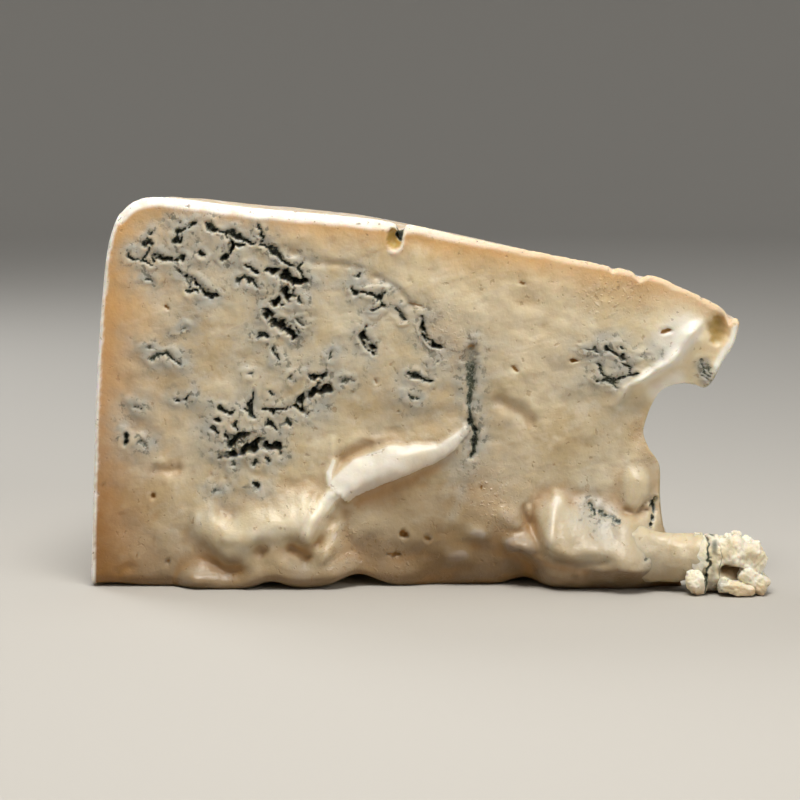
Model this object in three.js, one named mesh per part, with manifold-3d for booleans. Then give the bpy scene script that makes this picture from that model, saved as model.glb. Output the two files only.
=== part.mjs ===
// A wedge of soft blue cheese: an eighth of a half-height wheel that stands on its cut base. The rind is on
// the round rim and on the top. The tip is torn away and the creamy paste has run out at the foot.
//
// Millimetres, +Z up. The wedge is drawn by "reach", the distance along the front cut from the rind at the
// base towards the wheel's axis, by height above the base, and by depth behind the front cut, which faces -Y.
import * as THREE from "three";
import { mergeVertices } from "three/addons/utils/BufferGeometryUtils.js";
import Module from "manifold-3d";

const wasm = await Module();
wasm.setup();

// Driving dimensions of the wheel, the cut and the box that the wedge fills
const WHEEL_RADIUS = 150;
const WEDGE_ANGLE = Math.PI / 4;
const RIM_HEIGHT = 87.1;
const TIP_REACH = 144.7;
const TIP_HEIGHT = 59.8;
const BOX_CENTRE = { reach: 76.1, depth: 46.2 };

// How finely the faces are divided. The front cut has twice the columns and rows of the back cut.
const FRONT_COLUMNS = 56;
const FRONT_ROWS = 30;
const TURN_STEPS = 12;

// Outline of the front cut: four sides as smooth lines through [reach, height] points
const SHOULDER = [7.2, 83.3];
const FRONT_FOOT_REACH = 132.6;
const FRONT_OUTLINE = {
  base: [[0, 0], [FRONT_FOOT_REACH / 2, 0], [FRONT_FOOT_REACH, 0]],
  rind: [[0, 0], [1.3, 33], [2.2, 51], [4.5, 74.4], SHOULDER],
  top: [SHOULDER, [14.4, RIM_HEIGHT], [36.4, 84.8], [67.2, 81.8], [87.1, 77.6], [122.5, 70.5], [131, 67.4],
    [139, 63.7], [TIP_REACH, TIP_HEIGHT]],
  tear: [[FRONT_FOOT_REACH, 0], [128.6, 12], [127.4, 20], [127.2, 27.4], [124.6, 31.7], [123.7, 36.2],
    [127.4, 44], [133.4, 45.8], [137.8, 44.9], [TIP_REACH, TIP_HEIGHT]],
};

// Outline of the back cut, where the tear goes further in and the top has sunk more
const BACK_FOOT_REACH = 127;
const BACK_SHOULDER = [7.2, 76.2];
const BACK_TIP = [143, 59.6];
const BACK_OUTLINE = {
  base: [[0, 0], [BACK_FOOT_REACH / 2, 0], [BACK_FOOT_REACH, 0]],
  rind: [[0, 0], [1, 31], [2, 47], [4.5, 68], BACK_SHOULDER],
  top: [BACK_SHOULDER, [14.4, 80], [50, 76.6], [90, 71.3], [125, 65.6], BACK_TIP],
  tear: [[BACK_FOOT_REACH, 0], [119, 15], [115, 30], [114, 36], [119, 43], [127, 45.4], [133, 47], BACK_TIP],
};
const SINK_EASE = 1.6; // the power by which the band's height goes from the front outline to the back one

// Where the paste has swollen and run down the front cut: rolls with a middle line, a radius and a height
const ROLLS = [
  { from: [14, 3], to: [45, 3.4], radius: 9, height: 8.5 },
  { from: [24, 16], to: [46, 14], radius: 6.5, height: 4.2 },
  { from: [44, 14], to: [53, 21], radius: 4.2, height: 4 },
  { from: [68, 3.5], to: [93, 3.5], radius: 9, height: 4.5 },
  { from: [106, 7], to: [118, 6], radius: 11, height: 11 },
  { from: [104, 22], to: [102, 10], radius: 4, height: 4.5 },
  { from: [122.7, 25], to: [122.7, 20], radius: 2.8, height: 2.6 },
];
const DROOP = 0.25; // how far a roll sags for each millimetre that it stands out
const SWELL = 0.6; // slow unevenness of both cuts: crossing waves by their lengths along the cut and up it
const WAVES = [{ along: 7, up: 9 }, { along: 13, up: -13 }, { along: 3.6, up: -4.8 }];
const EDGE_SHARE = 0.1; // the part of each cut, in from its edges, over which the unevenness dies away
const TEAR_BEVEL = { beak: 8, middle: 4, between: [0.35, 0.7], slope: 0.6 }; // the front cut falls back there
const BASE_LIFTS = [
  { reach: 59, half: 6, lift: 2.6 },
  { reach: 98, half: 4, lift: 1.4 },
];

// Mould pockets that open in the front cut: middle, length, width, tilt in degrees and depth
const POCKETS = [
  { at: [45.5, 67], size: [10, 5], tilt: -48, depth: 5 },
  { at: [41.8, 60.6], size: [8, 4], tilt: 62, depth: 4.5 },
  { at: [36, 32], size: [12, 3.6], tilt: 9, depth: 5 },
  { at: [31, 38.6], size: [6, 3.4], tilt: -30, depth: 3 },
  { at: [49.9, 45.4], size: [8, 2.8], tilt: 36, depth: 4 },
  { at: [46.4, 41], size: [7, 2.4], tilt: 16, depth: 3 },
  { at: [17.8, 73], size: [7, 2.6], tilt: 20, depth: 2.5 },
  { at: [32.6, 77], size: [8, 3], tilt: -52, depth: 3 },
  { at: [25.2, 67.5], size: [8, 2], tilt: -36, depth: 2.5 },
  { at: [63, 54.5], size: [6, 3], tilt: 72, depth: 3.5 },
  { at: [65.2, 65], size: [7, 2.4], tilt: -28, depth: 3 },
  { at: [76.7, 56], size: [7.5, 2.2], tilt: -48, depth: 3 },
  { at: [74.1, 47.1], size: [6.5, 1.8], tilt: -16, depth: 2.5 },
  { at: [16.3, 52.3], size: [6, 2], tilt: 4, depth: 2.5 },
  { at: [115.6, 48.5], size: [7, 2.4], tilt: 40, depth: 2.5 },
  { at: [108.4, 51.2], size: [3, 2], tilt: 0, depth: 2 },
  { at: [70.1, 12.3], size: [3, 2.2], tilt: -15, depth: 2 },
];
const BEAK_HOLLOW = { at: [137.5, 58.2], size: [8, 5], tilt: -40, depth: 4 };

// Tracks of the piercing needles, laid open by the front cut
const NEEDLE_TRACKS = [
  { reach: 85, from: 28.5, to: 56, radius: 1.1 },
  { reach: 68.5, from: 76, to: RIM_HEIGHT, radius: 1.35 },
];
const NEEDLE_SIDES = 8;

// The curl of cream that the knife has pushed up on the front cut
const CURL = {
  line: [[84, 35.4], [78, 32.4], [72, 30.2], [64.6, 27.4], [59.5, 24.4], [55.4, 21.2]],
  halfWidths: [0.9, 2.2, 3.4, 4.4, 4.3, 3.7],
  forward: 0.5,
  standsOut: 3.6,
};

// The tongue of paste that runs from the foot to the crumbled end of the tip: [reach, depth, height]
const TONGUE = {
  line: [[114, -2.5, 8], [122.7, -3, 7.3], [127.1, -3.4, 6.4], [131.5, -3.8, 6.2], [137, -5, 6.4]],
  radii: [8, 6.8, 5.2, 3.5, 4.4],
};
const ROLL_SIDES = 12;
const ROLL_STEPS = 14;

// The crumbled end: lumps by middle [reach, depth, height] and half sizes
const LUMPS = [
  { at: [136.2, -5, 6.6], half: [3.9, 6, 6], detail: 2 },
  { at: [142, -5.5, 8], half: [5.6, 6.5, 4.9], detail: 2 },
  { at: [135.6, -9.5, 3.1], half: [3.2, 3.6, 3.1], detail: 1 },
  { at: [147, -6, 5], half: [4.8, 5.6, 4.6], detail: 2 },
  { at: [142.4, -10.4, 2.3], half: [5.4, 3, 2.2], detail: 1 },
  { at: [143.6, -6, 12.6], half: [1.8, 1.8, 1.9], detail: 1 },
  { at: [146.6, -5.4, 11.2], half: [1.6, 1.6, 1.8], detail: 1 },
];
const LUMP_ROUGHNESS = 0.2;
const LUMP_WAVES = [5, 4.4, 6];

const PASTE = new THREE.MeshStandardMaterial({ color: 0xe3d3b0, roughness: 0.5, metalness: 0 });

// Points evenly spaced along a smooth line through [reach, height] points
function spacedLine(points, steps) {
  const line = new THREE.SplineCurve(points.map((point) => new THREE.Vector2(...point)));
  return line.getSpacedPoints(steps);
}

// A grid of points that fills an outline: each one weighs the four sides by how near they are
function fillOutline(outline, columns, rows) {
  const base = spacedLine(outline.base, columns);
  const top = spacedLine(outline.top, columns);
  const rind = spacedLine(outline.rind, rows);
  const tear = spacedLine(outline.tear, rows);
  const mix = (column, row) => {
    const u = column / columns;
    const v = row / rows;
    const across = (axis) => (1 - u) * rind[row][axis] + u * tear[row][axis];
    const upward = (axis) => (1 - v) * base[column][axis] + v * top[column][axis];
    const corners = (axis) =>
      (1 - v) * ((1 - u) * base[0][axis] + u * base[columns][axis]) +
      v * ((1 - u) * top[0][axis] + u * top[columns][axis]);
    const at = (axis) => across(axis) + upward(axis) - corners(axis);
    return { reach: at("x"), height: at("y"), u, v };
  };
  return Array.from({ length: rows + 1 }, (_, row) =>
    Array.from({ length: columns + 1 }, (__, column) => mix(column, row)));
}

// Column and row of each grid point round the outline: along the base, up the tear, back along the top and
// down the rind
function outlineLoop(columns, rows) {
  const loop = [];
  for (let column = 0; column < columns; column++) loop.push([column, 0]);
  for (let row = 0; row < rows; row++) loop.push([columns, row]);
  for (let column = columns; column > 0; column--) loop.push([column, rows]);
  for (let row = rows; row > 0; row--) loop.push([0, row]);
  return loop;
}

// How far a roll stands out at a place: a parabola across its middle line
function rollHeight(roll, reach, height) {
  const [x0, z0] = roll.from;
  const along = [roll.to[0] - x0, roll.to[1] - z0];
  const share = ((reach - x0) * along[0] + (height - z0) * along[1]) / (along[0] ** 2 + along[1] ** 2);
  const t = THREE.MathUtils.clamp(share, 0, 1);
  const distance = Math.hypot(reach - x0 - t * along[0], height - z0 - t * along[1]) / roll.radius;
  return roll.height * Math.max(0, 1 - distance ** 2);
}

// Slow unevenness of a soft cut: the mean of crossing waves, level at the edges
function unevenness({ reach, height, u, v }) {
  const inside = Math.min(1, u / EDGE_SHARE, (1 - u) / EDGE_SHARE, v / EDGE_SHARE, (1 - v) / EDGE_SHARE);
  const sum = WAVES.reduce((total, wave) => total + Math.sin(reach / wave.along + height / wave.up), 0);
  return (SWELL * inside * sum) / WAVES.length;
}

// How much the edge of the base is lifted clear of the table
function baseLift(reach) {
  return BASE_LIFTS.reduce((lift, gap) => {
    const share = Math.max(0, 1 - Math.abs(reach - gap.reach) / gap.half);
    return lift + gap.lift * share * share * (3 - 2 * share);
  }, 0);
}

// A point of the front cut: rolls bring it forward and down, the tear takes it back
function frontPoint(place) {
  const { reach, height, u, v } = place;
  const rolled = Math.max(0, ...ROLLS.map((roll) => rollHeight(roll, reach, height)));
  const towardBeak = THREE.MathUtils.smoothstep(v, ...TEAR_BEVEL.between);
  const bevel = THREE.MathUtils.lerp(TEAR_BEVEL.middle, TEAR_BEVEL.beak, towardBeak);
  const fromTear = (1 - u) * TIP_REACH;
  const fallsBack = bevel * TEAR_BEVEL.slope * Math.max(0, 1 - fromTear / bevel) ** 2;
  const depth = fallsBack - rolled - unevenness(place);
  const sag = Math.min(DROOP * rolled, height * DROOP);
  return new THREE.Vector3(reach, depth, height - sag + (v === 0 ? baseLift(reach) : 0));
}

// A point at an angle round the wheel's axis, from 0 at the front cut to the wedge's own angle at the back
function turned(reach, height, angle, outward = 0) {
  const radius = WHEEL_RADIUS - reach;
  return new THREE.Vector3(
    WHEEL_RADIUS - radius * Math.cos(angle) + outward * Math.sin(angle),
    radius * Math.sin(angle) + outward * Math.cos(angle),
    height,
  );
}

// The whole wedge as one closed skin: front cut, a band that turns the outline round the axis, back cut
function wedgeSkin() {
  const front = fillOutline(FRONT_OUTLINE, FRONT_COLUMNS, FRONT_ROWS);
  const backColumns = FRONT_COLUMNS / 2;
  const backRows = FRONT_ROWS / 2;
  const back = fillOutline(BACK_OUTLINE, backColumns, backRows);
  const frontLoop = outlineLoop(FRONT_COLUMNS, FRONT_ROWS);
  const backLoop = outlineLoop(backColumns, backRows);
  const count = backLoop.length;
  const points = [];
  const faces = [];
  const add = (point) => points.push(point.x, point.y, point.z) / 3 - 1;
  const quad = (a, b, c, d) => faces.push(a, b, c, a, c, d);

  const frontIds = front.map((row) => row.map((place) => add(frontPoint(place))));
  const backIds = back.map((row) => row.map((place) =>
    add(turned(place.reach, place.height, WEDGE_ANGLE, unevenness(place)))));

  // Rings of the band, each with every second point of the front cut's outline
  const rings = [];
  for (let step = 1; step < TURN_STEPS; step++) {
    const share = step / TURN_STEPS;
    rings.push(backLoop.map(([column, row], k) => {
      const [frontColumn, frontRow] = frontLoop[2 * k];
      const near = front[frontRow][frontColumn];
      const far = back[row][column];
      const reach = THREE.MathUtils.lerp(near.reach, far.reach, share);
      const height = THREE.MathUtils.lerp(near.height, far.height, share ** SINK_EASE);
      return add(turned(reach, height, share * WEDGE_ANGLE));
    }));
  }
  rings.push(backLoop.map(([column, row]) => backIds[row][column]));

  for (let row = 0; row < FRONT_ROWS; row++)
    for (let column = 0; column < FRONT_COLUMNS; column++) {
      const [lower, upper] = [frontIds[row], frontIds[row + 1]];
      quad(lower[column], lower[column + 1], upper[column + 1], upper[column]);
    }
  for (let row = 0; row < backRows; row++)
    for (let column = 0; column < backColumns; column++) {
      const [lower, upper] = [backIds[row], backIds[row + 1]];
      quad(lower[column], upper[column], upper[column + 1], lower[column + 1]);
    }

  const edge = frontLoop.map(([column, row]) => frontIds[row][column]);
  for (let k = 0; k < count; k++) {
    const [a, b, c] = [edge[2 * k], edge[2 * k + 1], edge[(2 * k + 2) % edge.length]];
    const [d, e] = [rings[0][k], rings[0][(k + 1) % count]];
    faces.push(a, d, b, b, d, e, b, e, c);
  }
  for (let step = 1; step < rings.length; step++)
    for (let k = 0; k < count; k++) {
      const next = (k + 1) % count;
      quad(rings[step - 1][k], rings[step][k], rings[step][next], rings[step - 1][next]);
    }
  return skin(points, faces);
}

function skin(points, faces) {
  return new THREE.BufferGeometry()
    .setAttribute("position", new THREE.Float32BufferAttribute(points, 3))
    .setIndex(faces);
}

// A closed roll along a curve, with two half sizes at each place: across it in the front plane, and in depth
function rollSkin(line, acrossAt, depthAt) {
  const points = [];
  const faces = [];
  const ring = (step, side) => step * ROLL_SIDES + (side % ROLL_SIDES);
  const toward = new THREE.Vector3(0, -1, 0);
  for (let step = 0; step <= ROLL_STEPS; step++) {
    const t = step / ROLL_STEPS;
    const middle = line.getPoint(t);
    const across = new THREE.Vector3().crossVectors(line.getTangent(t), toward).normalize();
    for (let side = 0; side < ROLL_SIDES; side++) {
      const angle = (side / ROLL_SIDES) * 2 * Math.PI;
      const point = middle.clone()
        .addScaledVector(across, acrossAt(t) * Math.cos(angle))
        .addScaledVector(toward, depthAt(t) * Math.sin(angle));
      points.push(point.x, point.y, Math.max(point.z, 0));
    }
  }
  for (let step = 0; step < ROLL_STEPS; step++)
    for (let side = 0; side < ROLL_SIDES; side++)
      faces.push(
        ring(step, side), ring(step + 1, side), ring(step + 1, side + 1),
        ring(step, side), ring(step + 1, side + 1), ring(step, side + 1),
      );
  for (let side = 1; side < ROLL_SIDES - 1; side++) {
    faces.push(ring(0, 0), ring(0, side), ring(0, side + 1));
    faces.push(ring(ROLL_STEPS, 0), ring(ROLL_STEPS, side + 1), ring(ROLL_STEPS, side));
  }
  return skin(points, faces);
}

// A value read along a short list of evenly spaced values
function along(values) {
  const line = new THREE.SplineCurve(values.map((value, k) => new THREE.Vector2(k, value)));
  return (t) => line.getPoint(t).y;
}

function curlSkin() {
  const places = CURL.line.map(([reach, height]) => new THREE.Vector3(reach, -CURL.forward, height));
  const line = new THREE.CatmullRomCurve3(places);
  const across = along(CURL.halfWidths);
  const widest = Math.max(...CURL.halfWidths);
  return rollSkin(line, across, (t) => (CURL.standsOut * across(t)) / widest);
}

function tongueSkin() {
  const line = new THREE.CatmullRomCurve3(TONGUE.line.map((point) => new THREE.Vector3(...point)));
  const radius = along(TONGUE.radii);
  return rollSkin(line, radius, radius);
}

// A rough lump of crumbled paste, flat where it would sink into the table
function lumpSkin({ at, half, detail }, seed) {
  const ball = new THREE.IcosahedronGeometry(1, detail);
  const position = ball.getAttribute("position");
  const point = new THREE.Vector3();
  for (let k = 0; k < position.count; k++) {
    point.fromBufferAttribute(position, k);
    const bumps = LUMP_WAVES.map((wave, axis) => Math.sin(wave * point.getComponent(axis) + seed));
    const mean = bumps.reduce((sum, bump) => sum + bump, 0) / bumps.length;
    point.multiplyScalar(1 + LUMP_ROUGHNESS * mean);
    point.multiply(new THREE.Vector3(...half)).add(new THREE.Vector3(...at));
    position.setXYZ(k, point.x, point.y, Math.max(point.z, 0));
  }
  return ball;
}

// The body that hollows out a pocket: a ball drawn to its length, width and depth
function pocketSkin({ at, size, tilt, depth }) {
  const ball = new THREE.IcosahedronGeometry(1, 1);
  ball.scale(size[0] / 2, depth, size[1] / 2);
  ball.rotateY(-THREE.MathUtils.degToRad(tilt));
  ball.translate(at[0], 0, at[1]);
  return ball;
}

function trackSkin({ reach, from, to, radius }) {
  const track = new THREE.CylinderGeometry(radius, radius, to - from, NEEDLE_SIDES);
  track.rotateX(Math.PI / 2);
  track.translate(reach, 0, (to + from) / 2);
  return track;
}

function solidOf(geometry) {
  const bare = geometry.clone();
  bare.deleteAttribute("normal");
  bare.deleteAttribute("uv");
  const merged = mergeVertices(bare, 1e-3);
  return new wasm.Manifold(new wasm.Mesh({
    numProp: 3,
    vertProperties: new Float32Array(merged.getAttribute("position").array),
    triVerts: new Uint32Array(merged.index.array),
  }));
}

function geometryOf(solid) {
  const mesh = solid.getMesh();
  const geometry = skin(Array.from(mesh.vertProperties), Array.from(mesh.triVerts));
  geometry.computeVertexNormals();
  return geometry;
}

// The largest of the bodies that the joins and cuts leave, so that no loose crumb stays
function mainBody(solid) {
  return solid.decompose().reduce((best, body) => (body.volume() > best.volume() ? body : best));
}

function cheeseSolid() {
  const added = [curlSkin(), tongueSkin(), ...LUMPS.map((lump, k) => lumpSkin(lump, k + 1))];
  const taken = [...[...POCKETS, BEAK_HOLLOW].map(pocketSkin), ...NEEDLE_TRACKS.map(trackSkin)];
  let cheese = solidOf(wedgeSkin());
  for (const geometry of taken) cheese = cheese.subtract(solidOf(geometry));
  for (const geometry of added) cheese = cheese.add(solidOf(geometry));
  return mainBody(cheese);
}

const wedge = new THREE.Mesh(geometryOf(cheeseSolid()), PASTE);
wedge.name = "wedge";

const cheese = new THREE.Group();
cheese.add(wedge);
cheese.position.set(-BOX_CENTRE.reach, -BOX_CENTRE.depth, 0);

export default cheese;
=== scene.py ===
# %% [markdown]
# # A wedge of soft blue cheese
# The real thing is an eighth of a half-height wheel, standing on its cut base. Rind covers the round rim and
# the top. Everything else is soft paste that a knife has cut, and that has since sagged and run.
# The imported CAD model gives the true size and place, and this lesson makes the surface that the eye sees.
# All shapes are worked out in millimetres and turned to metres at the very end.

# %% Load the frame and keep its box
import math

import bpy
import numpy as np
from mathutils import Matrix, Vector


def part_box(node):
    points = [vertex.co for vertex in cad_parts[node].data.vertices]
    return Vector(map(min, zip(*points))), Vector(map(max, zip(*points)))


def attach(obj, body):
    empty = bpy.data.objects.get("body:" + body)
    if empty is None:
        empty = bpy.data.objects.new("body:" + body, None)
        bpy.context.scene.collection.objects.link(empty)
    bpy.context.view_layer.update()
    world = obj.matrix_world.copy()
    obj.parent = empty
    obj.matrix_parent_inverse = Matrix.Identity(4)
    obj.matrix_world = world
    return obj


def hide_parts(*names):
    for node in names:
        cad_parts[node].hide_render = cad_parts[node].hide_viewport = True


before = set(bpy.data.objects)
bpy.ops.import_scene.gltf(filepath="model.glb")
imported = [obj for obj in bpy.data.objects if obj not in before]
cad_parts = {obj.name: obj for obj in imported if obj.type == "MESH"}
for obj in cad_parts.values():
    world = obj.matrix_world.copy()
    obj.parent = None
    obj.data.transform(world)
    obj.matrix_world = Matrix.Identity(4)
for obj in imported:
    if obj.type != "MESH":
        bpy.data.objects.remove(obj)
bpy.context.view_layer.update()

MM = 0.001
WHEEL_RADIUS = 150.0
WEDGE_ANGLE = math.radians(45)
RIM_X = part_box("wedge")[0].x / MM  # the rind at the base, at the low end of the box
FRONT_Y = -46.2  # the plane of the front cut
print(f"rim at {RIM_X:.2f} mm, front cut at {FRONT_Y} mm")

# %% [markdown]
# ## Places on the wedge
# Every place is given as reach (along the front cut, from the rind towards the wheel's axis), depth (behind
# the front cut) and height. A cheese is a turned shape, so the rim, top and tear are the front outline swung
# round the wheel's axis, which stands one wheel radius in from the rind.


# %% From reach, depth and height to the part's own frame
def placed(reach, depth, height):
    """Shift reach and depth to the part's frame and turn millimetres to metres."""
    return np.stack(np.broadcast_arrays(reach + RIM_X, depth + FRONT_Y, height), -1) * MM


def swung(reach, height, angle):
    """Swing a place of the front outline round the wheel's axis: reach, depth and height at that angle."""
    radius = WHEEL_RADIUS - reach
    new_reach = WHEEL_RADIUS - radius * np.cos(angle)
    return np.stack(np.broadcast_arrays(new_reach, radius * np.sin(angle), height), -1)


print(f"the wheel's axis stands at {placed(WHEEL_RADIUS, 0, 0).round(4)} m")


# %% [markdown]
# ## Three small tools
# Soft food has no straight lines, so three helpers come first: a line that passes smoothly through a few
# points, an S-shaped step, and gradient noise, which is a field of smooth random hills of a chosen width.
# Noises of several widths are summed where a surface is uneven at several scales, as most food is.


# %% Smooth lines, smooth steps and smooth noise
def smooth_line(points, shares):
    """Catmull-Rom line through the points, read at shares of its length."""
    knots = np.asarray(points, float)
    padded = np.vstack([knots[:1], knots, knots[-1:]])
    t = np.linspace(0, len(knots) - 1, 4000)
    k = np.minimum(t.astype(int), len(knots) - 2)
    f = (t - k)[:, None]
    a, b, c, d = (padded[k + step] for step in range(4))
    line = b + 0.5 * f * (c - a + f * (2 * a - 5 * b + 4 * c - d + f * (3 * (b - c) + d - a)))
    length = np.append(0, np.cumsum(np.linalg.norm(np.diff(line, axis=0), axis=1)))
    at = np.asarray(shares) * length[-1]
    return np.stack([np.interp(at, length, line[:, axis]) for axis in range(line.shape[1])], -1)


def smooth_step(low, high, value):
    """0 below low, 1 above high, and the cubic 3t^2 - 2t^3 between."""
    t = np.clip((value - low) / (high - low), 0, 1)
    return t * t * (3 - 2 * t)


def noise(points, size, seed):
    """Gradient noise: a random slope at each corner of a cubic lattice of that size, blended by a quintic."""
    rng = np.random.default_rng(seed)
    slopes = rng.normal(size=(1024, 3))
    slopes /= np.linalg.norm(slopes, axis=1, keepdims=True)
    order = rng.permutation(1024)
    cell = np.floor(points / size).astype(int)
    f = points / size - cell
    ease = f**3 * (f * (6 * f - 15) + 10)
    total = np.zeros(points.shape[:-1])
    for corner in np.ndindex(2, 2, 2):
        x, y, z = np.moveaxis(cell + corner, -1, 0)
        pick = order[(order[(order[x % 1024] + y) % 1024] + z) % 1024]
        weight = np.prod(np.where(corner, ease, 1 - ease), axis=-1)
        total += weight * (slopes[pick] * (f - corner)).sum(-1)
    return 1.6 * total  # so that most of it lies between -1 and 1


def octaves(points, *layers):
    """Sum of noises, each given as (strength, size, seed)."""
    return sum(strength * noise(points, size, seed) for strength, size, seed in layers)


print(f"halfway up a smooth step: {smooth_step(0, 1, 0.5)}")


# %% [markdown]
# ## The outline and its grid
# The front cut is a flat sheet with four sides: base, rind, top and tear. A Coons patch fills such a sheet
# with a grid: each point weighs the four sides by how near they are. The grid is crowded where the mould
# pockets are, because fine relief needs small faces and the plain paste doesn't.

# %% The four sides of both cuts
TEAR_FOOT, SHOULDER, TIP = (132.6, 0), (7.2, 83.3), (144.7, 59.8)
BACK_FOOT, BACK_SHOULDER, BACK_TIP = (127, 0), (7.2, 76.2), (143, 59.6)
FRONT_SIDES = {
    "base": [(0, 0), (66.3, 0), TEAR_FOOT],
    "rind": [(0, 0), (1.3, 33), (2.2, 51), (4.5, 74.4), SHOULDER],
    "top": [SHOULDER, (14.4, 87.1), (36.4, 84.8), (67.2, 81.8), (87.1, 77.6), (122.5, 70.5), (131, 67.4),
            (139, 63.7), TIP],
    "tear": [TEAR_FOOT, (128.6, 12), (127.4, 20), (127.2, 27.4), (124.6, 31.7), (123.7, 36.2), (127.4, 44),
             (133.4, 45.8), (137.8, 44.9), (141, 50.6), (143.6, 55.4), TIP],
}
BACK_SIDES = {
    "base": [(0, 0), (63.5, 0), BACK_FOOT],
    "rind": [(0, 0), (1, 31), (2, 47), (4.5, 68), BACK_SHOULDER],
    "top": [BACK_SHOULDER, (14.4, 80), (50, 76.6), (90, 71.3), (125, 65.6), BACK_TIP],
    "tear": [BACK_FOOT, (119, 15), (115, 30), (114, 36), (119, 43), (127, 45.4), (133, 47), BACK_TIP],
}
COLUMNS, ROWS = 320, 200


def crowded_shares(count, crowds):
    """Shares from 0 to 1, closer in each (low, high, times) crowd: a density is summed and inverted."""
    t = np.linspace(0, 1, 2001)
    density = np.ones(2001)
    for low, high, times in crowds:
        middle = smooth_step(low - 0.06, low + 0.02, t) * (1 - smooth_step(high - 0.02, high + 0.06, t))
        density = density + (times - 1) * middle
    total = np.append(0, np.cumsum(density[1:]))
    return np.interp(np.linspace(0, total[-1], count + 1), total, t)


def fill_outline(sides, across, upward):
    """Coons patch: the blend of rind and tear, plus that of base and top, less that of the corners."""
    base, top = smooth_line(sides["base"], across), smooth_line(sides["top"], across)
    rind, tear = smooth_line(sides["rind"], upward), smooth_line(sides["tear"], upward)
    u, v = across[None, :, None], upward[:, None, None]
    corners = (1 - v) * ((1 - u) * base[0] + u * base[-1]) + v * ((1 - u) * top[0] + u * top[-1])
    return (1 - u) * rind[:, None] + u * tear[:, None] + (1 - v) * base + v * top - corners


ACROSS = crowded_shares(COLUMNS, [(0.06, 0.58, 1.8), (0.74, 0.84, 1.5)])
UPWARD = crowded_shares(ROWS, [(0.30, 0.99, 1.5)])
front = fill_outline(FRONT_SIDES, ACROSS, UPWARD)
back = fill_outline(BACK_SIDES, ACROSS[::2], UPWARD[::2])
reach, height = front[..., 0], front[..., 1]
print(f"front grid {front.shape}, smallest step {np.diff(reach[100]).min():.2f} mm")

# %% [markdown]
# ## Mould veins
# Blue mould grows where air gets in: in the gaps between curd grains and along the tracks of the piercing
# needles. A knife opens those gaps as ragged pockets. Each one is a short line with a half width and a depth.
# The lines are read through a warped copy of the cut, so that their walls come out torn instead of drawn.

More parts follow.
